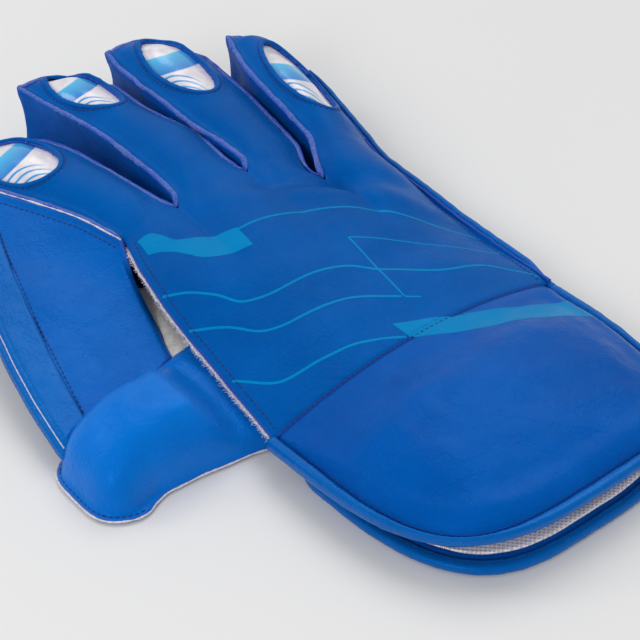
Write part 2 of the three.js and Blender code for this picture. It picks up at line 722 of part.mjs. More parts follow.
// Rim of a cuff from the thumb side round its end, with its depth as a share of its length
function cuffRim(width, length) {
  const side = CUFF_STEPS.map((v) => [-1, v]);
  const end = Array.from({ length: CUFF_COLUMNS - 1 }, (_, j) => [((j + 1) / CUFF_COLUMNS) * 2 - 1, 1]);
  const back = CUFF_STEPS.slice().reverse().map((v) => [1, v]);
  return [...side, ...end, ...back].map(([u, v]) => {
    const { across, along } = roundedEnd(u, v, CUFF_ROUND);
    return { x: (across * width) / 2, y: -GAP / 2 - along * length, depth: along };
  });
}

function rimHeight(depth) {
  return follow(RIM, 'z', depth) * CUFF_RIM_HEIGHT;
}

function cuffPadPoint(u, v) {
  const band = BINDING_WIDTH + GAP;
  const { across, along, reach } = roundedEnd(u, v, CUFF_ROUND);
  const x = across * (CUFF_WIDTH / 2 - band);
  const y = -GAP / 2 - along * (CUFF_LENGTH - band);
  const wrist = archHeight((u + 1) / 2, 0);
  const dome = rimHeight(along) + CUFF_CROWN * (1 - reach ** CUFF_POWER);
  return { point: vec(x, y, lerp(wrist, dome, ease(0, 0.4, v))), reach };
}

function makeCuffPad() {
  const lanes = Array.from({ length: CUFF_COLUMNS + 1 }, (_, j) => (j / CUFF_COLUMNS) * 2 - 1);
  const rows = CUFF_STEPS.slice().reverse().map((v) => lanes.map((u) => cuffPadPoint(u, v)));
  const top = rows.map((row) => row.map(({ point }) => point));
  const bottom = rows.map((row, i) => row.map(({ point, reach }) => {
    const v = CUFF_STEPS[CUFF_STEPS.length - 1 - i];
    const filling = (PAD - PAD_EDGE) * (1 - reach ** 3) * ease(0, 0.25, v);
    return point.clone().sub(vec(0, 0, PAD_EDGE + filling));
  }));
  return fillBetween(top, bottom);
}

// A rounded band between the rim of a cuff panel and its outline
function makeCuffBinding(width, length, lowAt, highAt) {
  const inner = cuffRim(width - 2 * BINDING_WIDTH, length - BINDING_WIDTH);
  const outer = cuffRim(width, length);
  const loops = outer.map((place, i) => {
    const from = vec(inner[i].x, inner[i].y, 0);
    const across = vec(place.x, place.y, 0).sub(from);
    return roundedLoop(from, across, 0, 1, lowAt(place.depth), highAt(place.depth));
  });
  return sweep(loops.reverse());
}

function makeCuffBindingBack() {
  const high = (depth) => rimHeight(depth) + BINDING_PROUD;
  return makeCuffBinding(CUFF_WIDTH, CUFF_LENGTH, (depth) => high(depth) - BINDING_HEIGHT, high);
}

function makeCuffBindingPalm() {
  return makeCuffBinding(PALM_CUFF_WIDTH, PALM_CUFF_LENGTH, () => 0, () => BINDING_HEIGHT);
}

function makeCuffPalm() {
  const band = BINDING_WIDTH + GAP;
  return slab(cuffRim(PALM_CUFF_WIDTH - 2 * band, PALM_CUFF_LENGTH - band), CUFF_PALM, 0);
}

function makeCuffLining() {
  const band = BINDING_WIDTH + 2 * GAP;
  return slab(cuffRim(PALM_CUFF_WIDTH - 2 * band, PALM_CUFF_LENGTH - band), LINING, CUFF_PALM + GAP);
}

const group = new THREE.Group();

function place(name, geometry, finish) {
  const mesh = new THREE.Mesh(geometry, new THREE.MeshStandardMaterial(finish));
  mesh.name = name;
  group.add(mesh);
}

place('back_panel', makeBackPanel(), BLUE);
place('palm_panel', makePalmPanel(), BLUE);
place('back_felt', makeBackFelt(), PALE_FELT);
FINGERS.forEach((finger) => place(`${finger.name}_patch`, makePatch(finger), WHITE_PRINT));
place('gusset_index_outer', makeIndexOuterGusset(), BLUE);
place('gusset_index_middle', makeGussetBetween(0), BLUE);
place('gusset_middle_ring', makeGussetBetween(1), BLUE);
place('gusset_ring_little', makeGussetBetween(2), BLUE);
place('side_wall', makeSideWall(), BLUE);
place('side_binding', makeSideBinding(), LIGHT_BLUE);
place('thumb_back', makeThumbBack(), BLUE);
place('web_panel', makeWebPanel(), BLUE);
place('web_trim', makeWebTrim(), LIGHT_BLUE);
place('cuff_pad', makeCuffPad(), BLUE);
place('cuff_binding_back', makeCuffBindingBack(), LIGHT_BLUE);
place('cuff_palm', makeCuffPalm(), BLUE);
place('cuff_binding_palm', makeCuffBindingPalm(), LIGHT_BLUE);
place('cuff_lining', makeCuffLining(), WHITE_MESH);

// The origin goes under the middle of the glove, on the floor
const box = new THREE.Box3().setFromObject(group);
group.position.set(-(box.min.x + box.max.x) / 2, -(box.min.y + box.max.y) / 2, -box.min.z);

export default group;
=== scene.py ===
import math
import random

import bpy
import numpy as np
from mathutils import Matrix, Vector, noise
from mathutils.bvhtree import BVHTree
from mathutils.geometry import delaunay_2d_cdt


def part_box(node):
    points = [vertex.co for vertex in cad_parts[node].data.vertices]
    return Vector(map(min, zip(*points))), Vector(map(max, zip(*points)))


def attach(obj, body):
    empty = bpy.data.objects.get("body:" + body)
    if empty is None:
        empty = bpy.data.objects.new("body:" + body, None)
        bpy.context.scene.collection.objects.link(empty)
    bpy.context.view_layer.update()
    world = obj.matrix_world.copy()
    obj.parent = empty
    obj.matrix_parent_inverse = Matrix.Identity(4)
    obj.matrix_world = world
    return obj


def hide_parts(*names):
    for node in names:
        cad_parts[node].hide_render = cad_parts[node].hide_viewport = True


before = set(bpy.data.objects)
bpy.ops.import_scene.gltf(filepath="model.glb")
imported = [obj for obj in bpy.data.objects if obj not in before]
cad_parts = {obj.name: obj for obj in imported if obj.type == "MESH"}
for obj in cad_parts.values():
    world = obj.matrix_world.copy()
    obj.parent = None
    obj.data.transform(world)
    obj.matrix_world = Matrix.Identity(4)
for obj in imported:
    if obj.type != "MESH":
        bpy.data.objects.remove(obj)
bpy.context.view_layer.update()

random.seed(11)

# Sizes in millimetres. x runs across the hand from the thumb's side, y from wrist seam to fingertips.
HAND_LENGTH, HAND_WIDTH, BACK_HEIGHT = 205.0, 128.0, 38.0
CUFF_LENGTH, CUFF_WIDTH, CUFF_CROWN, CUFF_RIM_HEIGHT = 91.0, 134.0, 17.5, 17.5
PALM_CUFF_LENGTH, PALM_CUFF_WIDTH = 89.0, 124.0
THUMB_LENGTH, THUMB_WIDTH, THUMB_HEIGHT = 71.0, 34.0, 23.0
PATCH_LENGTH, PATCH_WIDTH = 40.0, 21.0
TRIM_WIDTH = 12.0
BINDING_WIDTH, BINDING_HEIGHT, BINDING_END_HEIGHT, BINDING_PROUD = 4.3, 5.6, 4.2, 0.6
SIDE_BINDING_WIDTH, SIDE_BINDING_HEIGHT = 3.0, 6.5
TIP_BULGE, SEAM_RISE, FAR_SEAM_RISE, EAR_RISE, WEB_BOW = 4.0, 2.0, 0.7, 2.6, 8.0
STALL_WIDTH, STALL_LENGTH = 27.0, 95.0
LEATHER, GUSSET, FELT, PALM, PATCH = 1.6, 1.2, 1.2, 2.5, 1.2
PAD, PAD_EDGE, CUFF_PALM, LINING = 8.0, 3.5, 4.5, 1.0
THUMB_LEATHER, WEB_LEATHER, TRIM_LEATHER, FELT_SHOWN, SUEDE_THICK = 1.3, 1.7, 2.6, 0.9, 0.6
GAP, FLANGE_RISE, SEAM_DIP = 0.35, 2.0, 0.35
STITCH_LENGTH, STITCH_PITCH, STITCH_RADIUS = 1.75, 2.25, 0.22
FIBRES = 1400

# Roots of the fingers: x by HAND_WIDTH, y by HAND_LENGTH, z by BACK_HEIGHT
ROOTS = [(-0.410, 0.493, 0.763), (-0.207, 0.507, 0.816), (0.059, 0.517, 0.816),
         (0.240, 0.430, 0.711), (0.516, 0.468, 0.368)]

# Edges of the back from the wrist to the roots: share along, x by HAND_WIDTH, z by BACK_HEIGHT
RAW_EDGE = [(0, -0.496, 0.316), (0.22, -0.488, 0.421), (0.45, -0.477, 0.526),
            (0.6, -0.473, 0.605), (0.84, -0.445, 0.684), (1, -0.410, 0.763)]
OUTER_EDGE = [(0, 0.496, 0.395), (0.5, 0.508, 0.342), (1, 0.516, 0.368)]
HAND_ARCH = [(0, 0.284), (0.3, 0.38), (0.6, 0.44), (1, 0.46)]

# Fingers from root to tip: share along, left x y z, right x y z, crown
INDEX = [(0.06, -0.418, 0.517, 0.763, -0.233, 0.537, 0.816, 0.105),
         (0.25, -0.449, 0.585, 0.789, -0.252, 0.605, 0.816, 0.158),
         (0.5, -0.512, 0.668, 0.816, -0.273, 0.693, 0.816, 0.184),
         (0.75, -0.574, 0.737, 0.842, -0.299, 0.771, 0.829, 0.184),
         (0.92, -0.622, 0.798, 0.85, -0.332, 0.832, 0.816, 0.15),
         (1, -0.645, 0.834, 0.84, -0.389, 0.873, 0.77, 0.08)]
MIDDLE = [(0.06, -0.185, 0.537, 0.816, 0.039, 0.546, 0.8, 0.118),
          (0.25, -0.178, 0.605, 0.829, 0.038, 0.615, 0.8, 0.184),
          (0.5, -0.184, 0.718, 0.862, 0.021, 0.722, 0.81, 0.197),
          (0.75, -0.21, 0.845, 0.88, 0.001, 0.831, 0.82, 0.19),
          (0.92, -0.238, 0.934, 0.875, 0, 0.903, 0.815, 0.16),
          (1, -0.262, 0.978, 0.86, -0.05, 0.946, 0.785, 0.08)]
RING = [(0.06, 0.081, 0.551, 0.81, 0.222, 0.466, 0.69, 0.105),
        (0.25, 0.08, 0.62, 0.81, 0.285, 0.566, 0.67, 0.18),
        (0.5, 0.064, 0.716, 0.84, 0.305, 0.683, 0.7, 0.205),
        (0.75, 0.057, 0.846, 0.875, 0.318, 0.8, 0.765, 0.2),
        (0.92, 0.056, 0.926, 0.875, 0.325, 0.885, 0.785, 0.165),
        (1, 0.06, 0.974, 0.86, 0.29, 0.938, 0.77, 0.08)]
LITTLE = [(0.06, 0.265, 0.468, 0.705, 0.522, 0.493, 0.368, 0.316),
          (0.25, 0.328, 0.551, 0.74, 0.547, 0.566, 0.395, 0.303),
          (0.5, 0.35, 0.649, 0.8, 0.574, 0.663, 0.447, 0.289),
          (0.75, 0.37, 0.766, 0.85, 0.598, 0.761, 0.526, 0.25),
          (0.92, 0.408, 0.846, 0.87, 0.599, 0.815, 0.566, 0.184),
          (1, 0.426, 0.88, 0.835, 0.556, 0.849, 0.605, 0.09)]

# How much higher each finger's crown stands at its tip, in mm
TIP_CROWN = [0.8, 2.2, 2.8, 0.8]

# Where neighbouring fingers lean on each other: finger, side, place along it, width, mm to the right
PINCHES = [(1, 1, 0.42, 0.15, 2.9), (2, 0, 0.42, 0.15, -0.8),
           (2, 1, 0.55, 0.2, 1.0), (3, 0, 0.55, 0.2, -0.6)]

# Name, crown at the root, sections, then the patch: centre x, y, length and width shares, lean in degrees
FINGERS = [
    ("index", 0.079, INDEX, (-0.474, 0.783, 0.9, 1.18, 22)),
    ("middle", 0.105, MIDDLE, (-0.122, 0.891, 0.95, 0.84, 14)),
    ("ring", 0.079, RING, (0.187, 0.85, 1.16, 1.0, -2)),
    ("little", 0.316, LITTLE, (0.476, 0.696, 1.27, 0.9, -9)),
]

NAMES = [finger[0] for finger in FINGERS]

# Folds of the back: centre x, y in mm, lean in degrees, half length, half width, rise
FOLDS = [
    (24, 72, -32, 36, 5.5, 2.3), (28, 83, -32, 32, 5, -2.0), (-48, 86, 28, 12, 5, -1.6),
    (-10, 58, -12, 34, 8, -0.9), (14, 34, 8, 40, 8, -0.8), (-30, 30, 40, 22, 6, 0.7),
    (40, 20, -20, 24, 7, 0.7), (-20, 98, 60, 14, 3.5, -0.9), (14, 100, 75, 14, 3, -0.8),
    (-40, 112, 68, 12, 3, 0.7),
]

# Thumb from hand to tip: share along, low and high edge by THUMB_WIDTH, rise by THUMB_HEIGHT
THUMB_BASE_X, THUMB_AXIS_Y, THUMB_ROUND, THUMB_FLANGE = -0.426, 0.12, 4, 0.965
THUMB = [(0, -0.574, 1.12, 0.5), (0.2, -0.471, 1.0, 0.75), (0.35, -0.441, 0.85, 0.92),
         (0.55, -0.4, 0.76, 1.06), (0.73, -0.4, 0.76, 1.1), (0.855, -0.475, 0.77, 1.1),
         (0.925, -0.56, 0.78, 1.08), (1, -0.6, 0.8, 1.06)]
THUMB_DOME_POWER, THUMB_DOME_FULLNESS = 3.0, 0.52
WEB_INNER, WEB_OUTER = (-0.508, 0.225, 0.5), (-0.952, 0.148, 0.36)

# Cuff rim from the wrist to its end: share along, height by CUFF_RIM_HEIGHT
RIM = [(0, 0.77), (0.25, 0.86), (0.6, 0.92), (0.85, 1.02), (1, 1.14)]
CUFF_ROUND, CUFF_POWER = 4, 3.2
BACK_RIM_ROUND, PALM_RIM_ROUND = 3.2, 3.4
MOUTH_REACH, PALM_RIM_HEIGHT = 2.1, 4.1
PALM_CUFF_TUCK, PALM_TUCK = 0.085, 4.5

# Printed lines of the back: width, then x, y points in mm
LINES = [
    (1.0, [(-21, 76), (-9, 74), (11, 68), (29, 59), (43, 49), (57, 40), (63, 36)]),
    (0.7, [(10, 50), (27, 40), (44, 31), (63, 23)]),
    (0.8, [(10, 50), (9, 33), (8, 17), (13, 13)]),
    (1.0, [(-58.5, 70), (-51, 64), (-45, 57), (-39, 48), (-28, 44), (-10, 42), (0, 39), (10, 31),
           (29, 20), (46, 17), (58, 9), (63.5, 3.5)]),
    (1.0, [(-59.5, 53), (-50, 45), (-41, 34), (-31, 30), (-20, 29), (-11, 27), (7, 17)]),
    (1.0, [(-60.5, 27), (-48, 14), (-34, 12), (-22, 10), (-12, 6), (-4, 1.5)]),
]
# Printed bands: upper and lower edges with as many points each
BANDS = [
    ([(-50, 97), (-46, 97), (-42, 93), (-39, 87), (-34, 84), (-20, 77)],
     [(-51, 89), (-47, 87), (-42, 79), (-38, 73), (-28, 68), (-21, 66)]),
    ([(-4, 9), (8, 4), (20, -1.5), (36, -7.5), (52, -12.5), (64, -18)],
     [(-3, 1), (3, -4), (12, -10.5), (28, -17.5), (44, -24), (63, -31)]),
]

PAD_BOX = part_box("cuff_pad")
SHIFT = np.array([500 * (PAD_BOX[0].x + PAD_BOX[1].x), 1000 * PAD_BOX[1].y + GAP / 2, 0.0])
HAND_SCALE = np.array([HAND_WIDTH, HAND_LENGTH, BACK_HEIGHT])
UP, DOWN = np.array([0.0, 0.0, 1.0]), Vector((0, 0, -1))


# Shaping tools

def ease(start, end, at):
    share = np.clip((np.asarray(at, float) - start) / (end - start), 0, 1)
    return share * share * (3 - 2 * share)


def bump(distance, width):
    return np.exp(-(np.asarray(distance, float) / width) ** 2)


def lerp(a, b, share):
    return a + (b - a) * share


def spread(a, b):
    return np.broadcast_arrays(np.asarray(a, float), np.asarray(b, float))


def follow(rows, column, at):
    """One column of a table at a share along it, by a cubic that doesn't overshoot."""
    rows = np.asarray(rows, float)
    t, y = rows[:, 0], rows[:, column]
    slopes = np.diff(y) / np.diff(t)
    before, after = slopes[:-1], slopes[1:]
    same = before * after > 0
    middle = np.where(same, 2 * before * after / np.where(same, before + after, 1), 0)
    tangents = np.concatenate([slopes[:1], middle, slopes[-1:]])
    at = np.asarray(at, float)
    i = np.clip(np.searchsorted(t, at) - 1, 0, len(t) - 2)
    width = t[i + 1] - t[i]
    s = (at - t[i]) / width
    return ((2 * s**3 - 3 * s**2 + 1) * y[i] + (s**3 - 2 * s**2 + s) * width * tangents[i]
            + (3 * s**2 - 2 * s**3) * y[i + 1] + (s**3 - s**2) * width * tangents[i + 1])


def ripple(points, size, height, seed=0.0):
    """Smooth noise at each point, with features of about that size in millimetres."""
    flat = np.asarray(points, float).reshape(-1, 3) / size + seed
    values = [noise.noise(Vector(p)) for p in flat]
    return np.array(values).reshape(np.shape(points)[:-1]) * height


def unit(vectors):
    return vectors / (np.linalg.norm(vectors, axis=-1, keepdims=True) + 1e-12)


def turned(x, y, degrees):
    """Lengths along and across a direction that leans from the x axis."""
    c, s = math.cos(math.radians(degrees)), math.sin(math.radians(degrees))
    return x * c + y * s, y * c - x * s


def rounded_end(u, v, power):
    across = u * (1 - v**power / 2) ** (1 / power)
    along = v * (1 - abs(u) ** power / 2) ** (1 / power)
    return across, along, (abs(across) ** power + along**power) ** (1 / power)


def round_the_end(count, pace):
    """Shares across and along a rounded end, for points that go round it from one side to the other."""
    t = np.linspace(0, 1, count)
    v = np.clip(np.minimum(t, 1 - t) * pace, 0, 1)
    return np.clip((t - 0.5) / (0.5 - 1 / pace), -1, 1), v


def path_reach(path):
    """Distance of each point of a path from its start."""
    return np.concatenate([[0], np.cumsum(np.linalg.norm(np.diff(path, axis=0), axis=1))])


def resample(path, pitch):
    """Points at an even pitch along a path."""
    path = np.asarray(path, float)
    reach = path_reach(path)
    count = max(int(round(reach[-1] / pitch)), 1) + 1
    at = np.linspace(0, reach[-1], count)
    return np.stack([np.interp(at, reach, path[:, k]) for k in range(path.shape[1])], axis=1)


def smooth_path(points, pitch=1.0):
    """A smooth curve through a few points."""
    points = np.asarray(points, float)
    reach = path_reach(points)
    rows = np.column_stack([reach / reach[-1], points])
    at = np.linspace(0, 1, max(int(reach[-1] / pitch), 2) + 1)
    return np.stack([follow(rows, k, at) for k in range(1, rows.shape[1])], axis=1)


def grid_faces(rows, columns, closed=False):
    """Quads of a grid of points, counterclockwise when columns run right and rows run up."""
    ids = np.arange(rows * columns).reshape(rows, columns)
    right = np.roll(ids, -1, axis=1)
    if not closed:
        ids, right = ids[:, :-1], right[:, :-1]
    quads = np.stack([ids[:-1], right[:-1], right[1:], ids[1:]], axis=-1)
    return quads.reshape(-1, 4)


def vertex_normals(points, faces):
    normals = np.zeros_like(points)
    a, b, c, d = (points[faces[:, k]] for k in (0, 1, 2, -1))
    face = np.cross(c - a, d - b) if faces.shape[1] == 4 else np.cross(b - a, c - a)
    for k in range(faces.shape[1]):
        np.add.at(normals, faces[:, k], face)
    return unit(normals)


def facing_up(points, faces):
    return faces[:, ::-1] if vertex_normals(points, faces)[:, 2].mean() < 0 else faces


def grid_surface(grid):
    """The points of a grid as a list, with quads that face up."""
    points = grid.reshape(-1, 3)
    return points, facing_up(points, grid_faces(*grid.shape[:2]))


def ray_tree(points, faces):
    return BVHTree.FromPolygons(points.tolist(), faces.tolist())


def merge(parts):
    """One mesh from several, each given as its points and faces."""
    starts = np.cumsum([0] + [len(points) for points, _ in parts]).tolist()
    faces = [[k + start for k in face] for (_, own), start in zip(parts, starts) for face in own]
    return np.concatenate([points for points, _ in parts]), faces


def border_edges(faces):
    ring = np.concatenate([faces[:, [k, (k + 1) % faces.shape[1]]] for k in range(faces.shape[1])])
    known = set(map(tuple, ring))
    return np.array([edge for edge in ring if (edge[1], edge[0]) not in known])


def thicken(points, faces, under, bulge=0.3, upright=False):
    """Gives a surface thickness below it, with a rounded border. Returns points, faces and edge marks."""
    count = len(points)
    normals = vertex_normals(points, faces)
    drop = np.broadcast_to(np.asarray(under, float), (count,))[:, None]
    lower = points - (UP if upright else normals) * drop
    border = border_edges(faces)
    used = np.unique(border)
    outward = np.zeros_like(points)
    tangent = points[border[:, 1]] - points[border[:, 0]]
    for k in (0, 1):
        np.add.at(outward, border[:, k], np.cross(tangent, normals[border[:, k]]))
    outward = unit(outward)
    middle = (points + lower) / 2 + outward * drop * bulge
    place = np.full(count, -1)
    place[used] = 2 * count + np.arange(len(used))
    a, b = border[:, 0], border[:, 1]
    sides = [np.stack([b, a, place[a], place[b]], 1),
             np.stack([place[b], place[a], a + count, b + count], 1)]
    below = faces[:, ::-1] + count
    marks = np.zeros(2 * count + len(used))
    marks[used] = marks[used + count] = 0.5
    marks[2 * count:] = 1
    return (np.concatenate([points, lower, middle[used]]),
            [list(q) for part in (faces, below, *sides) for q in part], marks)


def weld(points, faces):
    """Joins points that fall together."""
    keys = np.round(points * 500).astype(np.int64)
    _, first, inverse = np.unique(keys, axis=0, return_index=True, return_inverse=True)
    return points[first], inverse.reshape(-1)[faces]


def sweep(rings):
    """A capped tube through closed rings of equally many points."""
    rings = np.asarray(rings, float)
    count, sides = rings.shape[:2]
    faces = [list(q) for q in grid_faces(count, sides, closed=True)]
    last = (count - 1) * sides
    faces.append(list(range(sides))[::-1])
    faces.append([last + j for j in range(sides)])
    return rings.reshape(-1, 3), faces


def plan_outward(path, spread=2):
    """Directions in plan to the left of a path's heading, evened over a few points."""
    heading = np.gradient(np.asarray(path, float)[:, :2], axis=0)
    outward = unit(np.stack([-heading[:, 1], heading[:, 0], np.zeros(len(heading))], axis=1))
    for _ in range(spread):
        padded = np.concatenate([outward[:1], outward, outward[-1:]])
        outward = unit(padded[:-2] + padded[1:-1] + padded[2:])
    return outward


def rounded_ring(centre, across, up, sides=12, power=0.75):
    """A rounded section about a centre, with half sizes given as vectors."""
    angles = (np.arange(sides) + 0.5) / sides * 2 * math.pi
    c, s = np.cos(angles), np.sin(angles)
    c, s = np.sign(c) * abs(c) ** power, np.sign(s) * abs(s) ** power
    return centre + c[:, None] * across + s[:, None] * up


# Materials

class Shader:
    """A node material with short calls to add nodes and link them."""

    def __init__(self, name):
        self.material = bpy.data.materials.new(name)
        self.material.use_nodes = True
        self.tree = self.material.node_tree
        self.surface = self.tree.nodes["Principled BSDF"]
        self.place = self.add("ShaderNodeTexCoord").outputs["Object"]

    def add(self, kind, inputs=None, **settings):
        node = self.tree.nodes.new(kind)
        for key, value in settings.items():
            setattr(node, key, value)
        for key, value in (inputs or {}).items():
            self.put(node.inputs[key], value)
        return node

    def put(self, socket, value):
        if isinstance(value, bpy.types.NodeSocket):
            self.tree.links.new(value, socket)
        else:
            socket.default_value = linear(value) if isinstance(value, tuple) else value

    def set(self, **values):
        for key, value in values.items():
            self.put(self.surface.inputs[key.replace("_", " ")], value)

    def noise(self, scale, detail=3.0, rough=0.55):
        inputs = {"Vector": self.place, "Scale": scale, "Detail": detail, "Roughness": rough}
        return self.add("ShaderNodeTexNoise", inputs).outputs["Fac"]

    def cells(self, scale, smooth=0.4):
        inputs = {"Vector": self.place, "Scale": scale, "Smoothness": smooth}
        return self.add("ShaderNodeTexVoronoi", inputs, feature="SMOOTH_F1").outputs["Distance"]

    def span(self, value, low, high, start=0.0, end=1.0):
        inputs = {"Value": value, "From Min": low, "From Max": high, "To Min": start, "To Max": end}
        return self.add("ShaderNodeMapRange", inputs).outputs["Result"]

    def mix(self, share, first, second):
        node = self.add("ShaderNodeMix", data_type="RGBA")
        for socket, value in zip((node.inputs[0], node.inputs[6], node.inputs[7]), (share, first, second)):
            self.put(socket, value)
        return node.outputs[2]

    def math(self, operation, first, second=0.0):
        node = self.add("ShaderNodeMath", operation=operation)
        self.put(node.inputs[0], first)
        self.put(node.inputs[1], second)
        return node.outputs[0]

    def parts(self, vector):
        split = self.add("ShaderNodeSeparateXYZ", {"Vector": vector})
        return split.outputs["X"], split.outputs["Y"]

    def mark(self, name):
        return self.add("ShaderNodeAttribute", attribute_name=name).outputs["Fac"]

    def relief(self, height, depth, strength=1.0, under=None):
        inputs = {"Height": height, "Distance": depth, "Strength": strength}
        if under:
            inputs["Normal"] = under
        return self.add("ShaderNodeBump", inputs).outputs["Normal"]


def linear(colour):
    """A colour in linear light from its 0 to 255 screen values."""
    values = [c / 255 for c in colour]
    return [c / 12.92 if c < 0.04045 else ((c + 0.055) / 1.055) ** 2.4 for c in values] + [1.0]


CUT_EDGE = (62, 86, 182)
BLUE_GLOSS = (60, 150, 255)


def leather(name, colour, dark, light, rough=0.42, gloss=0.11, grain=1300, depth=0.00012, edge=CUT_EDGE):
    """Grained leather with fine creases, whose cut borders show another colour."""
    s = Shader(name)
    base = s.mix(s.span(s.noise(28, 3), 0.35, 0.65), dark, colour)
    flecked = s.mix(s.span(s.noise(520, 4), 0.5, 0.85, 0, 0.3), base, light)
    fray = s.span(s.noise(1500, 2), 0.2, 0.6, 0.55, 1)
    frayed = s.math("MULTIPLY", s.span(s.mark("edge"), 0.25, 0.8), fray)
    s.set(Base_Color=s.mix(frayed, flecked, edge))
    s.set(Roughness=s.span(s.noise(160, 4), 0.3, 0.7, rough - 0.07, rough + 0.09))
    s.set(Specular_IOR_Level=gloss, Specular_Tint=BLUE_GLOSS)
    pores = s.relief(s.cells(grain), depth, 0.55)
    crease = s.span(s.math("ABSOLUTE", s.math("SUBTRACT", s.noise(75, 4), 0.5)), 0.0, 0.035)
    grained = s.relief(s.noise(330, 5, 0.6), 0.00035, 0.35, pores)
    s.set(Normal=s.relief(crease, 0.0004, 0.22, grained))
    return s.material


def fuzzy(name, colour, dark, scale=900):
    s = Shader(name)
    s.set(Base_Color=s.mix(s.span(s.noise(scale, 4), 0.35, 0.7), dark, colour))
    s.set(Roughness=0.95, Specular_IOR_Level=0.15, Sheen_Weight=0.4, Sheen_Roughness=0.6)
    s.set(Normal=s.relief(s.noise(2 * scale, 5, 0.7), 0.0004, 0.7))
    return s.material


def mesh_lining(name):
    """A padded knit with small round holes in staggered rows."""
    s = Shader(name)
    pitch = 2.0e-3
    x, y = s.parts(s.place)

    def lattice(offset):
        total = 0.0
        for value in (x, y):
            cell = s.math("FRACT", s.math("ADD", s.math("DIVIDE", value, pitch), 50 + offset))
            away = s.math("SUBTRACT", cell, 0.5)
            total = s.math("ADD", s.math("MULTIPLY", away, away), total)
        return s.math("SQRT", total)

    hole = s.span(s.math("MINIMUM", lattice(0.0), lattice(0.5)), 0.17, 0.27)
    ground = s.mix(s.span(s.noise(700, 3), 0.3, 0.7), (240, 234, 242), (252, 248, 252))
    # The holes are painted a darker lilac grey than the knit around them. This is painted shade inside the
    # holes.
    s.set(Base_Color=s.mix(hole, (214, 208, 222), ground), Roughness=0.85, Specular_IOR_Level=0.2)
    s.set(Normal=s.relief(hole, 0.0005, 0.8))
    return s.material


def printed_patch(name):
    """Glossy white film with a fading blue band and thin curved stripes, by the patch's own coordinates."""
    s = Shader(name)
    p, q = s.parts(s.add("ShaderNodeUVMap", uv_map="patch").outputs["UV"])
    arc = s.math("SQRT", s.math("ADD", s.math("POWER", s.math("ADD", p, 1.0), 2.0),
                                s.math("POWER", s.math("ADD", q, 1.75), 2.0)))
    wave = s.math("FRACT", s.math("MULTIPLY", arc, 6.0))
    thin = s.math("MULTIPLY", s.span(wave, 0.3, 0.4), s.span(wave, 0.72, 0.62))
    within = s.math("MULTIPLY", s.span(arc, 0.98, 1.02), s.span(arc, 1.66, 1.62))
    stripes = s.math("MULTIPLY", s.math("MULTIPLY", thin, within), s.span(p, 0.2, -0.1))
    height = s.math("SUBTRACT", q, s.math("MULTIPLY", s.math("POWER", p, 2.0), 0.2))
    band = s.math("MULTIPLY", s.span(height, -0.2, -0.17), s.span(height, 0.34, 0.3))
    blue = s.mix(s.span(height, -0.2, 0.34), (20, 120, 206), (70, 186, 232))
    white = s.mix(s.span(s.noise(300, 3), 0.3, 0.7), (214, 208, 216), (236, 232, 238))
    s.set(Base_Color=s.mix(band, s.mix(stripes, white, (40, 150, 216)), blue))
    s.set(Roughness=0.28, Coat_Weight=0.5, Coat_Roughness=0.12)
    s.set(Normal=s.relief(s.noise(260, 4), 0.0004, 0.35))
    return s.material


def thread(name, colour):
    s = Shader(name)
    wave = s.add("ShaderNodeTexWave", {"Vector": s.place, "Scale": 900.0, "Distortion": 1.5})
    s.set(Base_Color=s.mix(s.span(s.noise(900, 2), 0.3, 0.7, 0, 0.5), colour, (20, 40, 110)))
    s.set(Roughness=0.6, Normal=s.relief(wave.outputs["Fac"], 0.0001, 0.5))
    return s.material


# The thumb's leather is a lighter blue than the back's. This is painted light: the colour stands in for the
# light that falls on the thumb.
THUMB_LIT_BLUE = leather("thumb_leather", (8, 116, 212), (4, 106, 200), (22, 128, 222), 0.33, 0.4)
BLUE = leather("blue_leather", (0, 88, 170), (0, 80, 158), (6, 98, 182))
PAD_BLUE = leather("pad_leather", (0, 86, 174), (0, 78, 162), (6, 96, 186), 0.36, 0.18)
# The web's leather is a lighter blue than the back's. This is painted light: the colour stands in for the
# light that falls on the web.
WEB_LIT_BLUE = leather("web_leather", (4, 96, 186), (0, 88, 174), (16, 108, 196), 0.36, 0.35, depth=0.00018)
WALL_BLUE = leather("wall_leather", (4, 88, 176), (2, 76, 158), (16, 102, 190), 0.55, 0.08)
TRIM_BLUE = leather("trim_leather", (4, 96, 178), (0, 88, 168), (16, 108, 190), 0.28, 0.5)
PALM_BLUE = leather("palm_leather", (4, 74, 156), (2, 62, 138), (20, 92, 176), 0.6, 0.15, 700, 0.0004)
PRINT_CYAN = leather("cyan_print", (0, 130, 192), (0, 124, 184), (10, 140, 202), edge=(0, 130, 192))
FELT_WHITE = fuzzy("white_felt", (244, 240, 246), (196, 192, 206))
SUEDE = fuzzy("pale_suede", (222, 220, 214), (196, 194, 188), 400)
CUT_FUZZ = fuzzy("cut_fuzz", (66, 110, 206), (26, 68, 164), 1100)
LINE_WHITE = fuzzy("white_edge_paint", (226, 226, 236), (150, 160, 200), 1500)
MESH_WHITE = mesh_lining("white_mesh")
PATCH_PRINT = printed_patch("patch_print")
NAVY = thread("navy_thread", (2, 38, 118))


# Pieces

def add_object(name, data):
    obj = bpy.data.objects.new(name, data)
    bpy.context.scene.collection.objects.link(obj)
    return obj


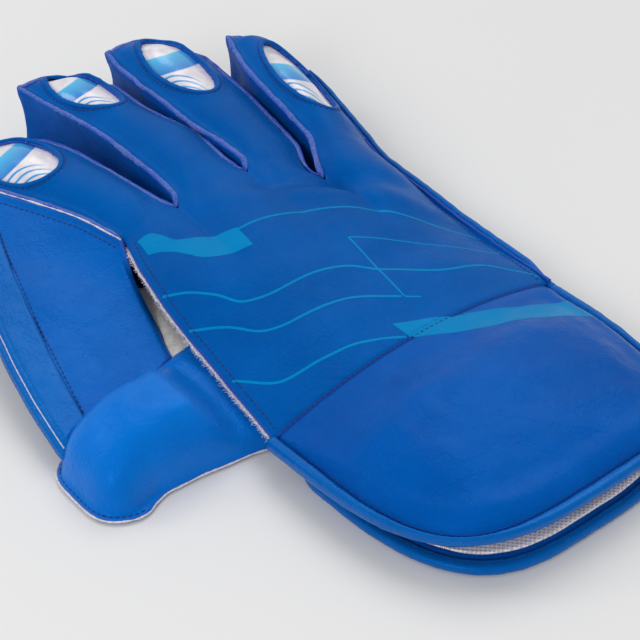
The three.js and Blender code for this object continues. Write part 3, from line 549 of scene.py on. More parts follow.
def piece(name, points, faces, material, replaces=(), marks=None):
    mesh = bpy.data.meshes.new(name)
    mesh.from_pydata(((np.asarray(points) + SHIFT) / 1000).tolist(), [], [list(map(int, f)) for f in faces])
    mesh.materials.append(material)
    mesh.polygons.foreach_set("use_smooth", [True] * len(mesh.polygons))
    if marks is not None:
        layer = mesh.attributes.new("edge", "FLOAT", "POINT")
        layer.data.foreach_set("value", np.asarray(marks, np.float32))
    obj = add_object(name, mesh)
    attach(obj, "root")
    if replaces:
        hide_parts(*replaces)
    return obj


def sheet(name, points, faces, thickness, material, replaces=(), share=1.0, bulge=0.3, upright=False):
    """A surface with thickness below it, marked along its cut border."""
    body, shell, marks = thicken(points, faces, thickness, bulge, upright)
    return piece(name, body, shell, material, replaces, marks * share)


def tube(name, centres, across, up, material, replaces=(), sides=8, power=1.0):
    """A capped strip with a rounded section about each centre."""
    rings = [rounded_ring(*section, sides, power) for section in zip(centres, across, up)]
    return piece(name, *sweep(rings), material, replaces)


# The back of the hand and the fingers

def finger_rows(f):
    _, crown, sections, _ = FINGERS[f]
    return [(0, *ROOTS[f], *ROOTS[f + 1], crown), *sections]


def finger_points(f, u, v):
    """Points of a finger's back at shares across and along it, without its lip."""
    u, v = spread(u, v)
    rows = np.array(finger_rows(f))
    at = [follow(rows, k, v) for k in range(1, 8)]
    points = lerp(np.stack(at[:3], -1), np.stack(at[3:6], -1), u[..., None]) * HAND_SCALE
    crown = at[6] * BACK_HEIGHT + TIP_CROWN[f] * ease(0.72, 0.96, v)
    points[..., 2] += crown * (1 - abs(2 * u - 1) ** 2.4)
    heading = (rows[-1, 1:3] + rows[-1, 4:6] - rows[0, 1:3] - rows[0, 4:6]) * HAND_SCALE[:2]
    bulge = TIP_BULGE * (1 - (2 * u - 1) ** 2) * ease(0.7, 1, v)
    points[..., :2] += bulge[..., None] * unit(heading)
    for finger, side, place, width, amount in PINCHES:
        if finger == f:
            points[..., 0] += amount * bump(v - place, width) * (u if side else 1 - u) ** 2
    return points


def hand_share(i, y):
    """How far from the wrist to a root y lies."""
    return np.clip(y / (ROOTS[i][1] * HAND_LENGTH), 0, 1)


def hand_line(i, a):
    y = lerp(GAP / 2, ROOTS[i][1] * HAND_LENGTH, a)
    if i == 0:
        return follow(RAW_EDGE, 1, a) * HAND_WIDTH, y
    if i == len(ROOTS) - 1:
        return follow(OUTER_EDGE, 1, a) * HAND_WIDTH, y
    wrist = lerp(RAW_EDGE[0][1], OUTER_EDGE[0][1], i / (len(ROOTS) - 1))
    return lerp(wrist, ROOTS[i][0], a) * HAND_WIDTH, y


def raw_edge_x(y):
    return hand_line(0, hand_share(0, y))[0]


def arch_height(s, a):
    edge = lerp(follow(RAW_EDGE, 2, a), follow(OUTER_EDGE, 2, a), s)
    return (edge + follow(HAND_ARCH, 1, a) * (1 - abs(2 * s - 1) ** 2.1)) * BACK_HEIGHT


def hand_points(f, u, a):
    u, a = spread(u, a)
    (left_x, left_y), (right_x, right_y) = hand_line(f, a), hand_line(f + 1, a)
    x, y = lerp(left_x, right_x, u), lerp(left_y, right_y, u)
    raw, outer = hand_line(0, a)[0], hand_line(len(ROOTS) - 1, a)[0]
    z = lerp(arch_height((x - raw) / (outer - raw), a), finger_points(f, u, 0)[..., 2], ease(0.45, 1, a))
    return np.stack([x, y, z], -1)


def folds(points):
    x, y = points[..., 0], points[..., 1]
    total = np.zeros(x.shape)
    for cx, cy, lean, reach, width, rise in FOLDS:
        along, across = turned(x - cx, y - cy, lean)
        total += rise * bump(along, reach) * bump(across, width)
    return total


def window_centre(f):
    return np.array(FINGERS[f][3][:2]) * HAND_SCALE[:2]


def window_place(f, points):
    """Place of points in a patch's ellipse: across and along it as shares of its half sizes."""
    _, _, long, wide, lean = FINGERS[f][3]
    p, q = turned(*np.moveaxis(points[..., :2] - window_centre(f), -1, 0), lean)
    return p / (wide * PATCH_WIDTH / 2), q / (long * PATCH_LENGTH / 2)


def window_loop(f, outside=0.0, count=90):
    _, _, long, wide, lean = FINGERS[f][3]
    angle = np.linspace(0, 2 * math.pi, count, endpoint=False)
    p = (wide * PATCH_WIDTH / 2 + outside) * np.cos(angle)
    q = (long * PATCH_LENGTH / 2 + outside) * np.sin(angle)
    return np.stack(turned(p, q, -lean), 1) + window_centre(f)


def window_distance(f, points):
    """Rough distance of points from a window's rim, in mm."""
    _, _, long, wide, _ = FINGERS[f][3]
    return (np.hypot(*window_place(f, points)) - 1) * (long * PATCH_LENGTH + wide * PATCH_WIDTH) / 4


def lip_height(u, v):
    """How far the back turns up into the cut edge round a finger, most on the side of the thumb."""
    left, right, end = u * STALL_WIDTH, (1 - u) * STALL_WIDTH, (1 - v) * STALL_LENGTH
    rise = np.maximum(SEAM_RISE * ease(3, 0.2, left), FAR_SEAM_RISE * ease(3, 0.2, right))
    return (rise + EAR_RISE * bump(np.hypot(left, end), 5)) * ease(0, 0.07, v)


HAND_STEPS = np.linspace(0, 1, 61)
FINGER_STEPS = np.linspace(0, 1, 91)
COLUMNS = np.linspace(0, 1, 29)


def back_parts():
    """Points and quads of the back without thickness, for each finger with its part of the hand."""
    parts = []
    v = FINGER_STEPS[1:, None]
    for f in range(len(FINGERS)):
        finger = finger_points(f, COLUMNS, v) + UP * lip_height(COLUMNS, v)[..., None]
        rows = np.concatenate([hand_points(f, COLUMNS, HAND_STEPS[:, None]), finger])
        parts.append((rows.reshape(-1, 3), grid_faces(*rows.shape[:2])))
    return parts


def dress_back(points):
    """Adds folds, undulations and the padded rims of the windows to points of the back."""
    x, y = points[:, 0], points[:, 1]
    rise = folds(points) * ease(0, 5, x - raw_edge_x(y))
    rise += ripple(points, 24, 0.7, 3.1) + ripple(points, 9, 0.22, 8.4)
    rise = rise * ease(0, 7, y) - SEAM_DIP * ease(1.6, 0, y)
    for f in range(len(FINGERS)):
        rise += 0.7 * bump(window_distance(f, points) - 1.2, 1.8)
    return points + UP * rise[:, None]


def cut_windows(points, faces):
    """Takes the windows out of the back and moves the points beside them onto their rims."""
    points = points.copy()
    keep = np.ones(len(faces), bool)
    for f in range(len(FINGERS)):
        near = abs(window_distance(f, points)) < 0.65
        radius = np.maximum(np.hypot(*window_place(f, points)), 0.1)
        away = points[:, :2] - window_centre(f)
        points[:, :2] = window_centre(f) + away * np.where(near, 1 / radius, 1)[:, None]
        keep &= window_distance(f, points[faces].mean(axis=1)) > 0
    return points, faces[keep]


def make_back():
    points, faces = merge(back_parts())
    points, faces = weld(points, np.array(faces))
    points = dress_back(points)
    body, shell, marks = thicken(*cut_windows(points, faces), LEATHER)
    side, _ = hand_line(4, hand_share(4, body[:, 1]))
    bound = ease(-5, -3, body[:, 0] - side) * (body[:, 1] < ROOTS[4][1] * HAND_LENGTH)
    piece("back_leather", body, shell, BLUE, ("back_panel",), marks * (1 - bound))
    return ray_tree(points, faces)


def drape(surface, path, lift=0.0):
    """Drops plan points onto a surface. Returns points and normals."""
    points, normals = [], []
    for x, y in np.asarray(path)[:, :2]:
        hit, normal, _, _ = surface.ray_cast(Vector((x, y, 80)), DOWN)
        if hit is None:
            hit, normal, _, _ = surface.find_nearest(Vector((x, y, 25)))
        normals.append(normal if normal.z > 0 else -normal)
        points.append(hit + normals[-1] * lift)
    return np.array(points), np.array(normals)


def make_window_rim(name, back, f):
    rim, normals = drape(back, window_loop(f, 0.5, 120))
    side = np.cross(unit(np.roll(rim, -1, axis=0) - np.roll(rim, 1, axis=0)), normals)
    rings = [rounded_ring(point - up * 0.15, across * 1.05, up * 0.75, 10, 0.9)
             for point, across, up in zip(rim, side, normals)]
    closed = np.array(rings + rings[:1])
    quads = grid_faces(*closed.shape[:2], closed=True)
    piece(name, *weld(closed.reshape(-1, 3), quads), BLUE)


def make_patch(name, node, back, f):
    """The printed patch that bulges in a window, with its print laid out by its own ellipse."""
    loop = window_loop(f, 1.0, 72)
    centre = window_centre(f)
    radii = np.linspace(0, 1, 15)[1:]
    low, _ = drape(back, np.concatenate([[centre], *(centre + (loop - centre) * r for r in radii)]), -1.6)
    p, q = window_place(f, low)
    low[:, 2] += 1.1 * (1 - np.minimum(p**2 + q**2, 1)) + ripple(low, 7, 0.25, 5.0)
    count, spokes = len(low), len(loop)
    here = np.arange(spokes)
    there = (here + 1) % spokes
    fan = np.stack([0 * here, 1 + here, 1 + there], 1).tolist()
    top = fan + (1 + grid_faces(len(radii), spokes, closed=True)[:, ::-1]).tolist()
    below = [[i + count for i in face[::-1]] for face in top]
    here, there = here + count - spokes, there + count - spokes
    sides = np.stack([here, here + count, there + count, there], 1).tolist()
    patch = piece(name, np.concatenate([low, low - UP * PATCH]), top + below + sides, PATCH_PRINT, (node,))
    layer = patch.data.uv_layers.new(name="patch")
    places = np.tile(np.stack([p, q], 1), (2, 1))
    ids = np.zeros(len(patch.data.loops), np.int32)
    patch.data.loops.foreach_get("vertex_index", ids)
    layer.data.foreach_set("uv", places[ids].astype(np.float32).ravel())


def make_windows(back):
    for f, name in enumerate(NAMES):
        make_window_rim(f"{name}_window_rim", back, f)
        make_patch(f"{name}_print", f"{name}_patch", back, f)


# Walls between the fingers

def finger_rim(f, side):
    """Rim of a finger's back from its root to the middle of its tip, with its cut edge's height."""
    v = FINGER_STEPS[1:]
    tip = abs(side - np.linspace(0, 0.5, 15)[1:])
    u, v = np.concatenate([side + 0 * v, tip]), np.concatenate([v, 1 + 0 * tip])
    return np.column_stack([finger_points(f, u, v), lip_height(u, v)])


def outer_edge():
    a = HAND_STEPS[::-1]
    points = hand_points(len(FINGERS) - 1, 1 + 0 * a, a)
    return np.column_stack([points, np.full(len(a), 0.6)])


def root_point(f, u=1.0):
    return np.append(hand_points(f, u, 1.0), 0.0)[None, :]


def clear_gap(path, apart=14.0):
    """Distance from each point of a path to the nearest stretch that lies further along it."""
    plan = path[:, :2]
    reach = path_reach(plan)
    away = np.linalg.norm(plan[:, None] - plan[None], axis=2)
    away[abs(reach[:, None] - reach[None, :]) < apart] = 40
    return np.minimum(away.min(axis=1), 40)


# Section of a wall from foot to top: share of its height, offset from the rim
WALL = [(0, 2.6), (0.035, 2.5), (0.07, 1.5), (0.13, 0.5), (0.25, -0.5), (0.45, -1.3), (0.65, -1.2),
        (0.82, -0.5), (0.93, 0.35), (1, 0.55)]
WALL_STEPS = [0, 0.03, 0.06, 0.1, 0.16, 0.24, 0.34, 0.44, 0.54, 0.64, 0.74, 0.83, 0.9, 0.95, 0.98, 1]


def make_wall(name, path, node):
    path = resample(path, 1.0)
    rim, lips = path[:, :3], path[:, 3]
    outward = plan_outward(rim, 4)
    step = np.array(WALL_STEPS)[:, None]
    z = lerp(PALM + 0.15, rim[:, 2] + lips + ripple(rim, 3.5, 0.35, 2.0), step)
    offset = np.minimum(follow(WALL, 1, step) + GUSSET, 0.44 * clear_gap(rim))
    points = rim * (1, 1, 0) + UP * z[..., None]
    pleat = ripple(points * (1, 1, 0.45), 11, 1.5, 6.0) * np.sin(math.pi * step)
    points = points + outward * (offset + pleat)[..., None]
    faces = grid_faces(*z.shape)[:, ::-1]
    sheet(name, points.reshape(-1, 3), faces, GUSSET, WALL_BLUE, (node,), bulge=0.15)


def make_walls():
    for f, (here, there) in enumerate(zip(NAMES, NAMES[1:])):
        path = np.concatenate([finger_rim(f, 1)[::-1], root_point(f), finger_rim(f + 1, 0)])
        make_wall(f"wall_{here}_{there}", path, f"gusset_{here}_{there}")
    thumb_side = np.concatenate([root_point(0, 0.0), finger_rim(0, 0)])
    make_wall("wall_index_outer", thumb_side, "gusset_index_outer")
    outer_side = np.concatenate([finger_rim(3, 1)[::-1], outer_edge()])
    make_wall("side_wall_leather", outer_side, "side_wall")


def make_cut_edges():
    """The raw cut edges of back and wall, side by side along each finger's rim."""
    for f, name in enumerate(NAMES):
        for side, half, word in ((0, 1.05, "near"), (1, 0.65, "far")):
            path = resample(finger_rim(f, side), 0.9)[::-1 if side else 1]
            rim, lips = path[:, :3], path[:, 3:]
            outward = plan_outward(rim, 4)
            wander = ripple(rim, 6, 0.4, 9.0) + ripple(rim, 17, 0.7, 2.0)
            fray = 1 + ripple(rim, 1.7, 0.22, 1.0) + ripple(rim, 5, 0.2, 4.0)
            along = np.linspace(0, 1, len(path))
            thin = 0.3 + 0.7 * ease(0, 0.03, along) * ease(1, 0.93, along)
            centres = rim + UP * (lips - 0.15) + outward * (0.5 + wander)[:, None]
            size = (half * fray * thin)[:, None]
            tube(f"cut_edge_{name}_{word}", centres, outward * size, UP * size * 0.62, CUT_FUZZ, (), 9, 0.8)


def make_web_fuzz():
    """Felt that frays out of the seam between the index finger and the web."""
    path = resample(finger_rim(0, 0)[:len(FINGER_STEPS) - 1, :3], 0.8)
    outward = plan_outward(path, 4)
    size = np.maximum(0.1, 0.34 + ripple(path, 1.6, 0.25, 5.0) + ripple(path, 6, 0.3, 7.0))[:, None]
    centres = path + outward * 1.5 + UP * (SEAM_RISE + 0.1)
    tube("web_seam_felt", centres, outward * size, UP * size, FELT_WHITE)


def make_side_binding():
    v = FINGER_STEPS[FINGER_STEPS < 0.8][::-1]
    path = np.concatenate([finger_points(3, 1, v), outer_edge()[:, :3]])
    path = resample(np.concatenate([path, path[-1:] - (0, 1.5, 0)]), 1.2)
    outward = plan_outward(path, 3)
    fade = 0.45 + 0.55 * ease(0, 0.12, np.linspace(0, 1, len(path)))
    near = ease(16, 0, path[:, 1])
    width = lerp(SIDE_BINDING_WIDTH * fade, BINDING_WIDTH, near)
    height = lerp(SIDE_BINDING_HEIGHT * fade, BINDING_HEIGHT, near)
    centres = path + outward * (2 * GAP + GUSSET + SIDE_BINDING_WIDTH * fade / 2)[:, None]
    centres[:, 0] = lerp(centres[:, 0], (CUFF_WIDTH - BINDING_WIDTH) / 2, near)
    centres[:, 2] = lerp(centres[:, 2] + 1, rim_height(0.0) + BINDING_PROUD, near) - height / 2
    swell = 1 + ripple(path, 5, 0.1)
    across, up = outward * (swell * width / 2)[:, None], UP * (swell * height / 2)[:, None]
    tube("side_binding_leather", centres, across, up, TRIM_BLUE, ("side_binding",), 14, 0.75)


# Thumb and web

def thumb_width(v):
    """The middle of the thumb and its half width."""
    low, high = follow(THUMB, 1, v) * THUMB_WIDTH, follow(THUMB, 2, v) * THUMB_WIDTH
    return THUMB_AXIS_Y * HAND_LENGTH + (low + high) / 2, (high - low) / 2


def thumb_outline(u, v):
    across, along, reach = rounded_end(u, v, THUMB_ROUND)
    middle, half = thumb_width(v)
    x = THUMB_BASE_X * HAND_WIDTH - along * THUMB_LENGTH
    plump = (abs(across) ** THUMB_ROUND + (0.985 * along) ** THUMB_ROUND) ** (1 / THUMB_ROUND)
    return x, middle + across * half, reach, plump


def thumb_points(u, v):
    u, v = spread(u, v)
    x, y, reach, plump = thumb_outline(u, v)
    floor = PALM + GAP + FLANGE_RISE
    edge = follow(RAW_EDGE, 2, hand_share(0, y)) * BACK_HEIGHT
    room = edge - 2.0 - GAP - FELT - GAP - floor - 0.7
    rise = lerp(room, follow(THUMB, 3, v) * THUMB_HEIGHT, ease(0.16, 0.42, v))
    dome = (1 - np.minimum(plump / THUMB_FLANGE, 1) ** THUMB_DOME_POWER) ** THUMB_DOME_FULLNESS
    return np.stack([x, y, floor + rise * dome], -1), plump, reach


def make_thumb():
    u = np.sin(np.linspace(-1, 1, 81) * math.pi / 2)
    v = np.linspace(1, 0, 81)[:, None]
    points, plump, reach = thumb_points(u, v)
    inside = ease(0.92, 0.8, plump)
    rise = (ripple(points, 17, 1.1, 4.0) + ripple(points, 6, 0.3, 9.0)) * inside
    rise -= 0.3 * bump(plump - 0.95, 0.015) + 3.3 * ease(0.92, 1, reach)
    points, faces = grid_surface(points + UP * rise[..., None])
    sheet("thumb_leather", points, faces, THUMB_LEATHER, THUMB_LIT_BLUE, ("thumb_back",))

    rim = thumb_rim(1.0)[4:-22]
    rim = resample(np.column_stack([rim, np.ones(len(rim))]), 1.0)
    outward = plan_outward(rim, 6)
    size = (0.36 + ripple(rim, 2.1, 0.16, 2.0) + ripple(rim, 7, 0.12))[:, None]
    tube("thumb_raw_edge", rim + outward * 0.45, outward * size, UP * size, FELT_WHITE)
    return ray_tree(points, faces)


def thumb_rim(reach_share, count=150):
    """Plan points round the thumb, at a share of the way out to its rim, from its low to its high side."""
    u, v = round_the_end(count, 2.9)
    x, y, _, _ = thumb_outline(u, v)
    middle, _ = thumb_width(v)
    base = THUMB_BASE_X * HAND_WIDTH
    return np.stack([base + (x - base) * reach_share, middle + (y - middle) * reach_share], 1)


def thumb_inset(inset):
    rim = thumb_rim(1.0)
    return rim - plan_outward(rim, 6)[:, :2] * inset


def web_point(t, s):
    t, s = spread(t, s)
    here, back, ahead = (finger_points(0, 0, np.clip(t + step, 0, 1)) for step in (0, -0.02, 0.02))
    heading = unit((ahead - back) * (1, 1, 0))
    outward = np.stack([-heading[..., 1], heading[..., 0], 0 * t], -1)
    top = here + outward * (GAP + GUSSET + GAP) + UP * (SEAM_RISE / 2)
    scale = (HAND_WIDTH, HAND_LENGTH, THUMB_HEIGHT)
    on_thumb = lerp(np.array(WEB_INNER), np.array(WEB_OUTER), t[..., None]) * scale
    point = lerp(top, on_thumb, s[..., None])
    arch = 4 * s * (1 - s)
    point[..., 0] -= WEB_BOW * arch * t * t
    point[..., 2] -= WEB_BOW * 0.25 * arch * (1 - t)
    return point


def web_share(at, length, along_web=False):
    """A length as a share of the web's height at t or, by default, of its width at s."""
    ends = (web_point(at, 1), web_point(at, 0)) if along_web else (web_point(1, at), web_point(0, at))
    return length / np.linalg.norm(ends[0] - ends[1], axis=-1)


def trim_start(s):
    return 1 - web_share(s, TRIM_WIDTH)


def inside_thumb(points, surface, margin):
    hits = [surface.ray_cast(Vector((x, y, 80)), DOWN)[0] for x, y, _ in points]
    return np.array([hit is not None and z < hit.z + margin for hit, z in zip(hits, points[:, 2])])


def web_grid(start, end, columns, surface, margin):
    """Rows of points from the web's top edge down to the thumb, in lanes from the hand to the free edge."""
    lanes = []
    s = np.linspace(0, 1, 260)
    for share in np.linspace(0, 1, columns):
        covered = inside_thumb(web_point(lerp(start(s), end(s), share), s), surface, margin)
        stop = np.argmax(covered) if covered.any() else len(s) - 1
        at = np.linspace(0, s[max(stop - 1, 1)], 90)
        lanes.append(web_point(lerp(start(at), end(at), share), at))
    return np.array(lanes).transpose(1, 0, 2)


def make_web(thumb):
    grid = web_grid(lambda s: 0.015, trim_start, 44, thumb, 1.0)
    down, lane = np.linspace(0, 1, grid.shape[0])[:, None], np.linspace(0, 1, grid.shape[1])
    rise = ripple(grid, 26, 1.6, 1.0) * np.sin(math.pi * down) + ripple(grid, 8, 0.25, 7.0)
    rise += 0.9 * bump(down, 0.02) - 3.2 * bump(lane, 0.05) * ease(0, 0.25, down)
    points, faces = grid_surface(grid + UP * rise[..., None])
    sheet("web_leather", points, faces, WEB_LEATHER, WEB_LIT_BLUE, ("web_panel",))

    strip = web_grid(lambda s: trim_start(s) - 0.004, lambda s: 1, 18, thumb, 1.6)
    roll = 1.2 - 2.4 * ease(0.72, 1, np.linspace(0, 1, strip.shape[1])) + ripple(strip, 9, 0.35, 2.5)
    strip = strip + UP * roll[..., None]
    sheet("web_trim_leather", *grid_surface(strip), TRIM_LEATHER, TRIM_BLUE, ("web_trim",), 0.3, 0.5)
    edge = strip[:, -3]
    outward = plan_outward(edge, 6)
    centres = edge + UP * 0.1
    centres = centres + outward * ripple(centres, 12, 0.3)[:, None]
    tube("web_edge_paint", centres, outward * 0.24, np.tile(UP * 0.24, (len(edge), 1)), LINE_WHITE)
    return ray_tree(points, faces)


# Cuff

def cuff_rim(width, length, power=CUFF_ROUND):
    across, along, _ = rounded_end(*round_the_end(220, 3), power)
    return np.stack([across * width / 2, -GAP / 2 - along * length], 1), along


def rim_height(depth):
    return follow(RIM, 1, depth) * CUFF_RIM_HEIGHT


def plate_grid(steps_across, v, power):
    """Across, along and reach of a rounded plate for a grid from its round end to the wrist seam."""
    u = np.sin(np.linspace(-1, 1, steps_across) * math.pi / 2 * 0.999)
    u, v = np.broadcast_arrays(u[None, :], v[:, None])
    return u, v, *rounded_end(u, v, power)


def make_cuff_pad():
    rows = np.concatenate([np.linspace(0, 0.08, 9), np.linspace(0.08, 1, 71)[1:]])[::-1]
    u, v, across, along, reach = plate_grid(97, rows, CUFF_ROUND)
    band = BINDING_WIDTH + 0.1
    x = across * (CUFF_WIDTH / 2 - band)
    y = -GAP / 2 - along * (CUFF_LENGTH - band)
    dome = rim_height(along) + CUFF_CROWN * (1 - reach**CUFF_POWER)
    points = np.stack([x, y, lerp(arch_height((u + 1) / 2, 0 * v), dome, ease(0, 0.4, v))], -1)
    calm = ease(1, 0.86, reach) * ease(0, 0.12, v)
    seam = ease(0, 0.15, v)
    grain = ripple(points * (1, 0.4, 1), 4, 0.14, 6.0)
    rise = (ripple(points, 26, 1.5, 2.0) + ripple(points, 9, 0.4, 4.0) + grain) * calm
    rise += 1.2 * bump(reach - 0.93, 0.05) * seam - 1.4 * bump(reach - 1, 0.02)
    rise += ripple(points, 3.2, 0.3, 5.0) * bump(reach - 0.965, 0.03) * seam
    rise += 0.5 * bump(v - 0.06, 0.04) - SEAM_DIP * ease(0.02, 0, v)
    points, faces = grid_surface(points + UP * rise[..., None])
    thickness = PAD_EDGE + ((PAD - PAD_EDGE) * (1 - reach**3) * ease(0, 0.25, v)).reshape(-1)
    pad = sheet("cuff_pad_leather", points, faces, thickness, PAD_BLUE, ("cuff_pad",), 0, 0.1, True)
    return ray_tree(points, faces)


def make_cuff_binding(name, node, width, length, heights, inner_power, power, tuck=0.0):
    inner, depth = cuff_rim(width - 2 * BINDING_WIDTH, length - BINDING_WIDTH, inner_power)
    outer, _ = cuff_rim(width, length, power)
    for path in (inner, outer):
        path[:, 0] *= 1 - tuck * ease(0.2, 0, depth)
    bottom, top = heights(depth)
    centres = np.column_stack([(inner + outer) / 2, (bottom + top) / 2])
    swell = (1 + ripple(centres, 6, 0.09) + ripple(centres, 2.5, 0.05, 3.0))[:, None]
    across = np.column_stack([outer - inner, 0 * depth]) / 2 * swell
    up = UP * (top - bottom)[:, None] / 2 * swell
    tube(name, centres, across, up, TRIM_BLUE, (node,), 16, 0.8)


def make_cuff_plate(name, node, inset, base, thickness, material, puff=0.0):
    band = BINDING_WIDTH + inset
    _, _, across, along, _ = plate_grid(61, np.linspace(1, 0, 61), PALM_RIM_ROUND)
    x = across * (PALM_CUFF_WIDTH / 2 - band) * (1 - PALM_CUFF_TUCK * ease(0.2, 0, along))
    y = -GAP / 2 - along * (PALM_CUFF_LENGTH + MOUTH_REACH - band)
    flat = np.stack([x, y, 0 * x], -1)
    points = flat + UP * (base + thickness + ripple(flat, 12, puff, 2.0))[..., None]
    sheet(name, *grid_surface(points), thickness, material, (node,), 0, 0.1, True)


def back_binding_heights(depth):
    top = rim_height(depth) + BINDING_PROUD
    return top - lerp(BINDING_HEIGHT, BINDING_END_HEIGHT, ease(0.3, 0.9, depth)), top


def palm_binding_heights(depth):
    return 0 * depth + 0.1, 0 * depth + PALM_RIM_HEIGHT


def make_cuff():
    surface = make_cuff_pad()
    make_cuff_binding("cuff_binding_back_leather", "cuff_binding_back", CUFF_WIDTH, CUFF_LENGTH,
                      back_binding_heights, CUFF_ROUND, BACK_RIM_ROUND)
    make_cuff_binding("cuff_binding_palm_leather", "cuff_binding_palm", PALM_CUFF_WIDTH,
                      PALM_CUFF_LENGTH + MOUTH_REACH, palm_binding_heights, PALM_RIM_ROUND, PALM_RIM_ROUND,
                      PALM_CUFF_TUCK)
    make_cuff_plate("cuff_palm_leather", "cuff_palm", GAP, 0.0, CUFF_PALM, PALM_BLUE)
    make_cuff_plate("cuff_mesh_lining", "cuff_lining", 2 * GAP, CUFF_PALM + GAP, LINING, MESH_WHITE, 0.5)
    return surface


# Palm, felt and small things

def palm_outline():
    """Outline of the palm in plan, a little outside the walls."""
    path = [root_point(0, 0.0)]
    for f in range(len(FINGERS)):
        path += [finger_rim(f, 0), finger_rim(f, 1)[::-1][1:]]
        if f + 1 < len(FINGERS):
            path.append(root_point(f))
    walls = resample(np.concatenate([*path, outer_edge()])[:, :2], 1.0)
    offset = np.minimum(GUSSET + 2.9, 0.42 * clear_gap(walls))
    flat = np.column_stack([walls, np.zeros(len(walls))])
    offset = offset + ripple(flat, 9, 0.3, 1.0) * (offset > 2)
    return walls + plan_outward(walls, 4)[:, :2] * offset[:, None]


def make_palm():
    walls = palm_outline()
    thumb = thumb_rim(0.7, 260)
    thumb = thumb[thumb[:, 0] < raw_edge_x(thumb[:, 1]) - 0.2]
    low = np.linspace(GAP / 2, thumb[0, 1] - 0.3, 9)
    high = np.linspace(thumb[-1, 1] + 0.3, walls[0, 1] - 1, 16)
    tucked = raw_edge_x(low) + PALM_TUCK * ease(14, 3, low)
    beside_cuff, beside_web = np.stack([tucked, low], 1), np.stack([raw_edge_x(high), high], 1)
    outline = np.concatenate([beside_cuff, thumb, beside_web, walls])
    ring = [list(range(len(outline)))]
    corners, _, triangles, *_ = delaunay_2d_cdt([Vector(p) for p in outline], [], ring, 1, 1e-4)
    points = np.array([(p.x, p.y, PALM) for p in corners])
    faces = facing_up(points, np.array(triangles))
    sheet("palm_leather", points, faces, PALM, PALM_BLUE, ("palm_panel",), 0.2, 0.25, True)


def make_suede():
    """The pale inner face of the palm, which rises to the slit beside the web."""
    a = np.linspace(0.0, 0.98, 50)[:, None]
    (left, low), (right, high) = hand_line(0, a), hand_line(4, a)
    u = np.concatenate([np.linspace(0, 0.3, 24), np.linspace(0.32, 1, 24)])
    x = lerp(left + 3 - 8 * ease(0.3, 0.5, a), right - 2.5, u)
    flat = np.stack([x, lerp(low, high, u), 0 * x], -1)
    fold = 10 * bump(x - left - 1, 13) * ease(0.3, 0.5, a) * ease(1.05, 0.9, a)
    points = flat + UP * (PALM + 0.7 + ripple(flat, 15, 0.3) + fold)[..., None]
    sheet("palm_suede_lining", *grid_surface(points), SUEDE_THICK, SUEDE, bulge=0.1, upright=True)


def make_felt(back):
    """The felt under the back, which shows as a fuzzy line along the raw edge."""
    a = np.linspace(0, 1, 141)
    reach = np.concatenate([[-0.35, -0.2, 0, 0.5, 1.5, 3, 6], np.linspace(10, 118, 40)])
    raw_x, raw_y = hand_line(0, a)
    far_x, _ = hand_line(4, a)
    fray = ripple(np.stack([raw_x, raw_y, 0 * a], 1), 2.3, 0.6, 3.0)
    root_x, root_y, _ = (np.array(ROOTS) * HAND_SCALE).T
    rows = []
    for i, share in enumerate(a):
        x = np.minimum(raw_x[i] + reach + fray[i] * (reach < 0), far_x[i] - 2)
        y = lerp(GAP / 2, np.interp(x, root_x, root_y) - 4 * ease(0, 8, reach), share)
        surface, _ = drape(back, np.column_stack([np.maximum(x, raw_x[i] + 0.3), y]))
        rows.append(np.column_stack([x, y, surface[:, 2] - LEATHER - 0.12]))
    points, faces = grid_surface(np.array(rows))
    sheet("back_felt_layer", points, faces, FELT_SHOWN, FELT_WHITE, ("back_felt",), upright=True)


def stitch_mesh():
    """A single stitch along x, of unit length, that dips at its ends. z is up."""
    angles = np.arange(6) / 6 * 2 * math.pi
    rings = []
    for s in np.linspace(-0.5, 0.5, 7):
        lift = 0.75 * (1 - (2 * abs(s)) ** 3) - 0.25
        thick = 0.55 + 0.45 * (1 - (2 * abs(s)) ** 4)
        y, z = thick * np.cos(angles), lift + 0.8 * thick * np.sin(angles)
        rings.append(np.stack([0 * y + s, y, z], 1))
    return sweep(rings)


def make_stitches(name, runs):
    """Rows of stitches. A run is its points and the normals of what they lie on."""
    shape, shape_faces = stitch_mesh()
    parts = []
    for path, normals in runs:
        both = resample(np.column_stack([path, normals]), STITCH_PITCH)
        for start, end in zip(both, both[1:]):
            along = end[:3] - start[:3]
            if np.linalg.norm(along) < 0.5 * STITCH_PITCH:
                continue
            middle, along = (start + end) / 2, unit(along)
            up = unit(middle[3:] - along * np.dot(middle[3:], along))
            side = np.cross(up, along)
            turn = random.uniform(-0.09, 0.09)
            along, side = along + side * turn, side - along * turn
            size = STITCH_LENGTH * random.uniform(0.92, 1.06)
            axes = np.array([size * along, STITCH_RADIUS * side, STITCH_RADIUS * up])
            parts.append((middle[:3] + shape @ axes, shape_faces))
    piece(name, *merge(parts), NAVY)


def even_points(path, count):
    """That many points of a path, evenly along it."""
    path = resample(path, 1.0)
    return path[np.linspace(0, len(path) - 1, count).astype(int)]


def make_prints(back, cuff):
    """Printed lines and bands that lie on the leather."""
    plans = []
    for width, line in LINES:
        path = smooth_path(line, 0.8)
        side = plan_outward(path, 1)[:, :2]
        plans.append(np.stack([path + side * w for w in np.linspace(-width / 2, width / 2, 4)], axis=1))
    for edges in BANDS:
        top, low = (even_points(smooth_path(edge), 60) for edge in edges)
        plans.append(np.stack([lerp(top, low, w) for w in np.linspace(0, 1, 14)], axis=1))
    parts = []
    for plan in plans:
        grid = np.zeros((*plan.shape[:2], 3))
        for surface, chosen in ((back, plan[..., 1] > 0.2), (cuff, plan[..., 1] <= 0.2)):
            if chosen.any():
                grid[chosen] = drape(surface, plan[chosen], 0.05)[0]
        parts.append(grid_surface(grid))
    piece("printed_lines", *merge(parts), PRINT_CYAN)


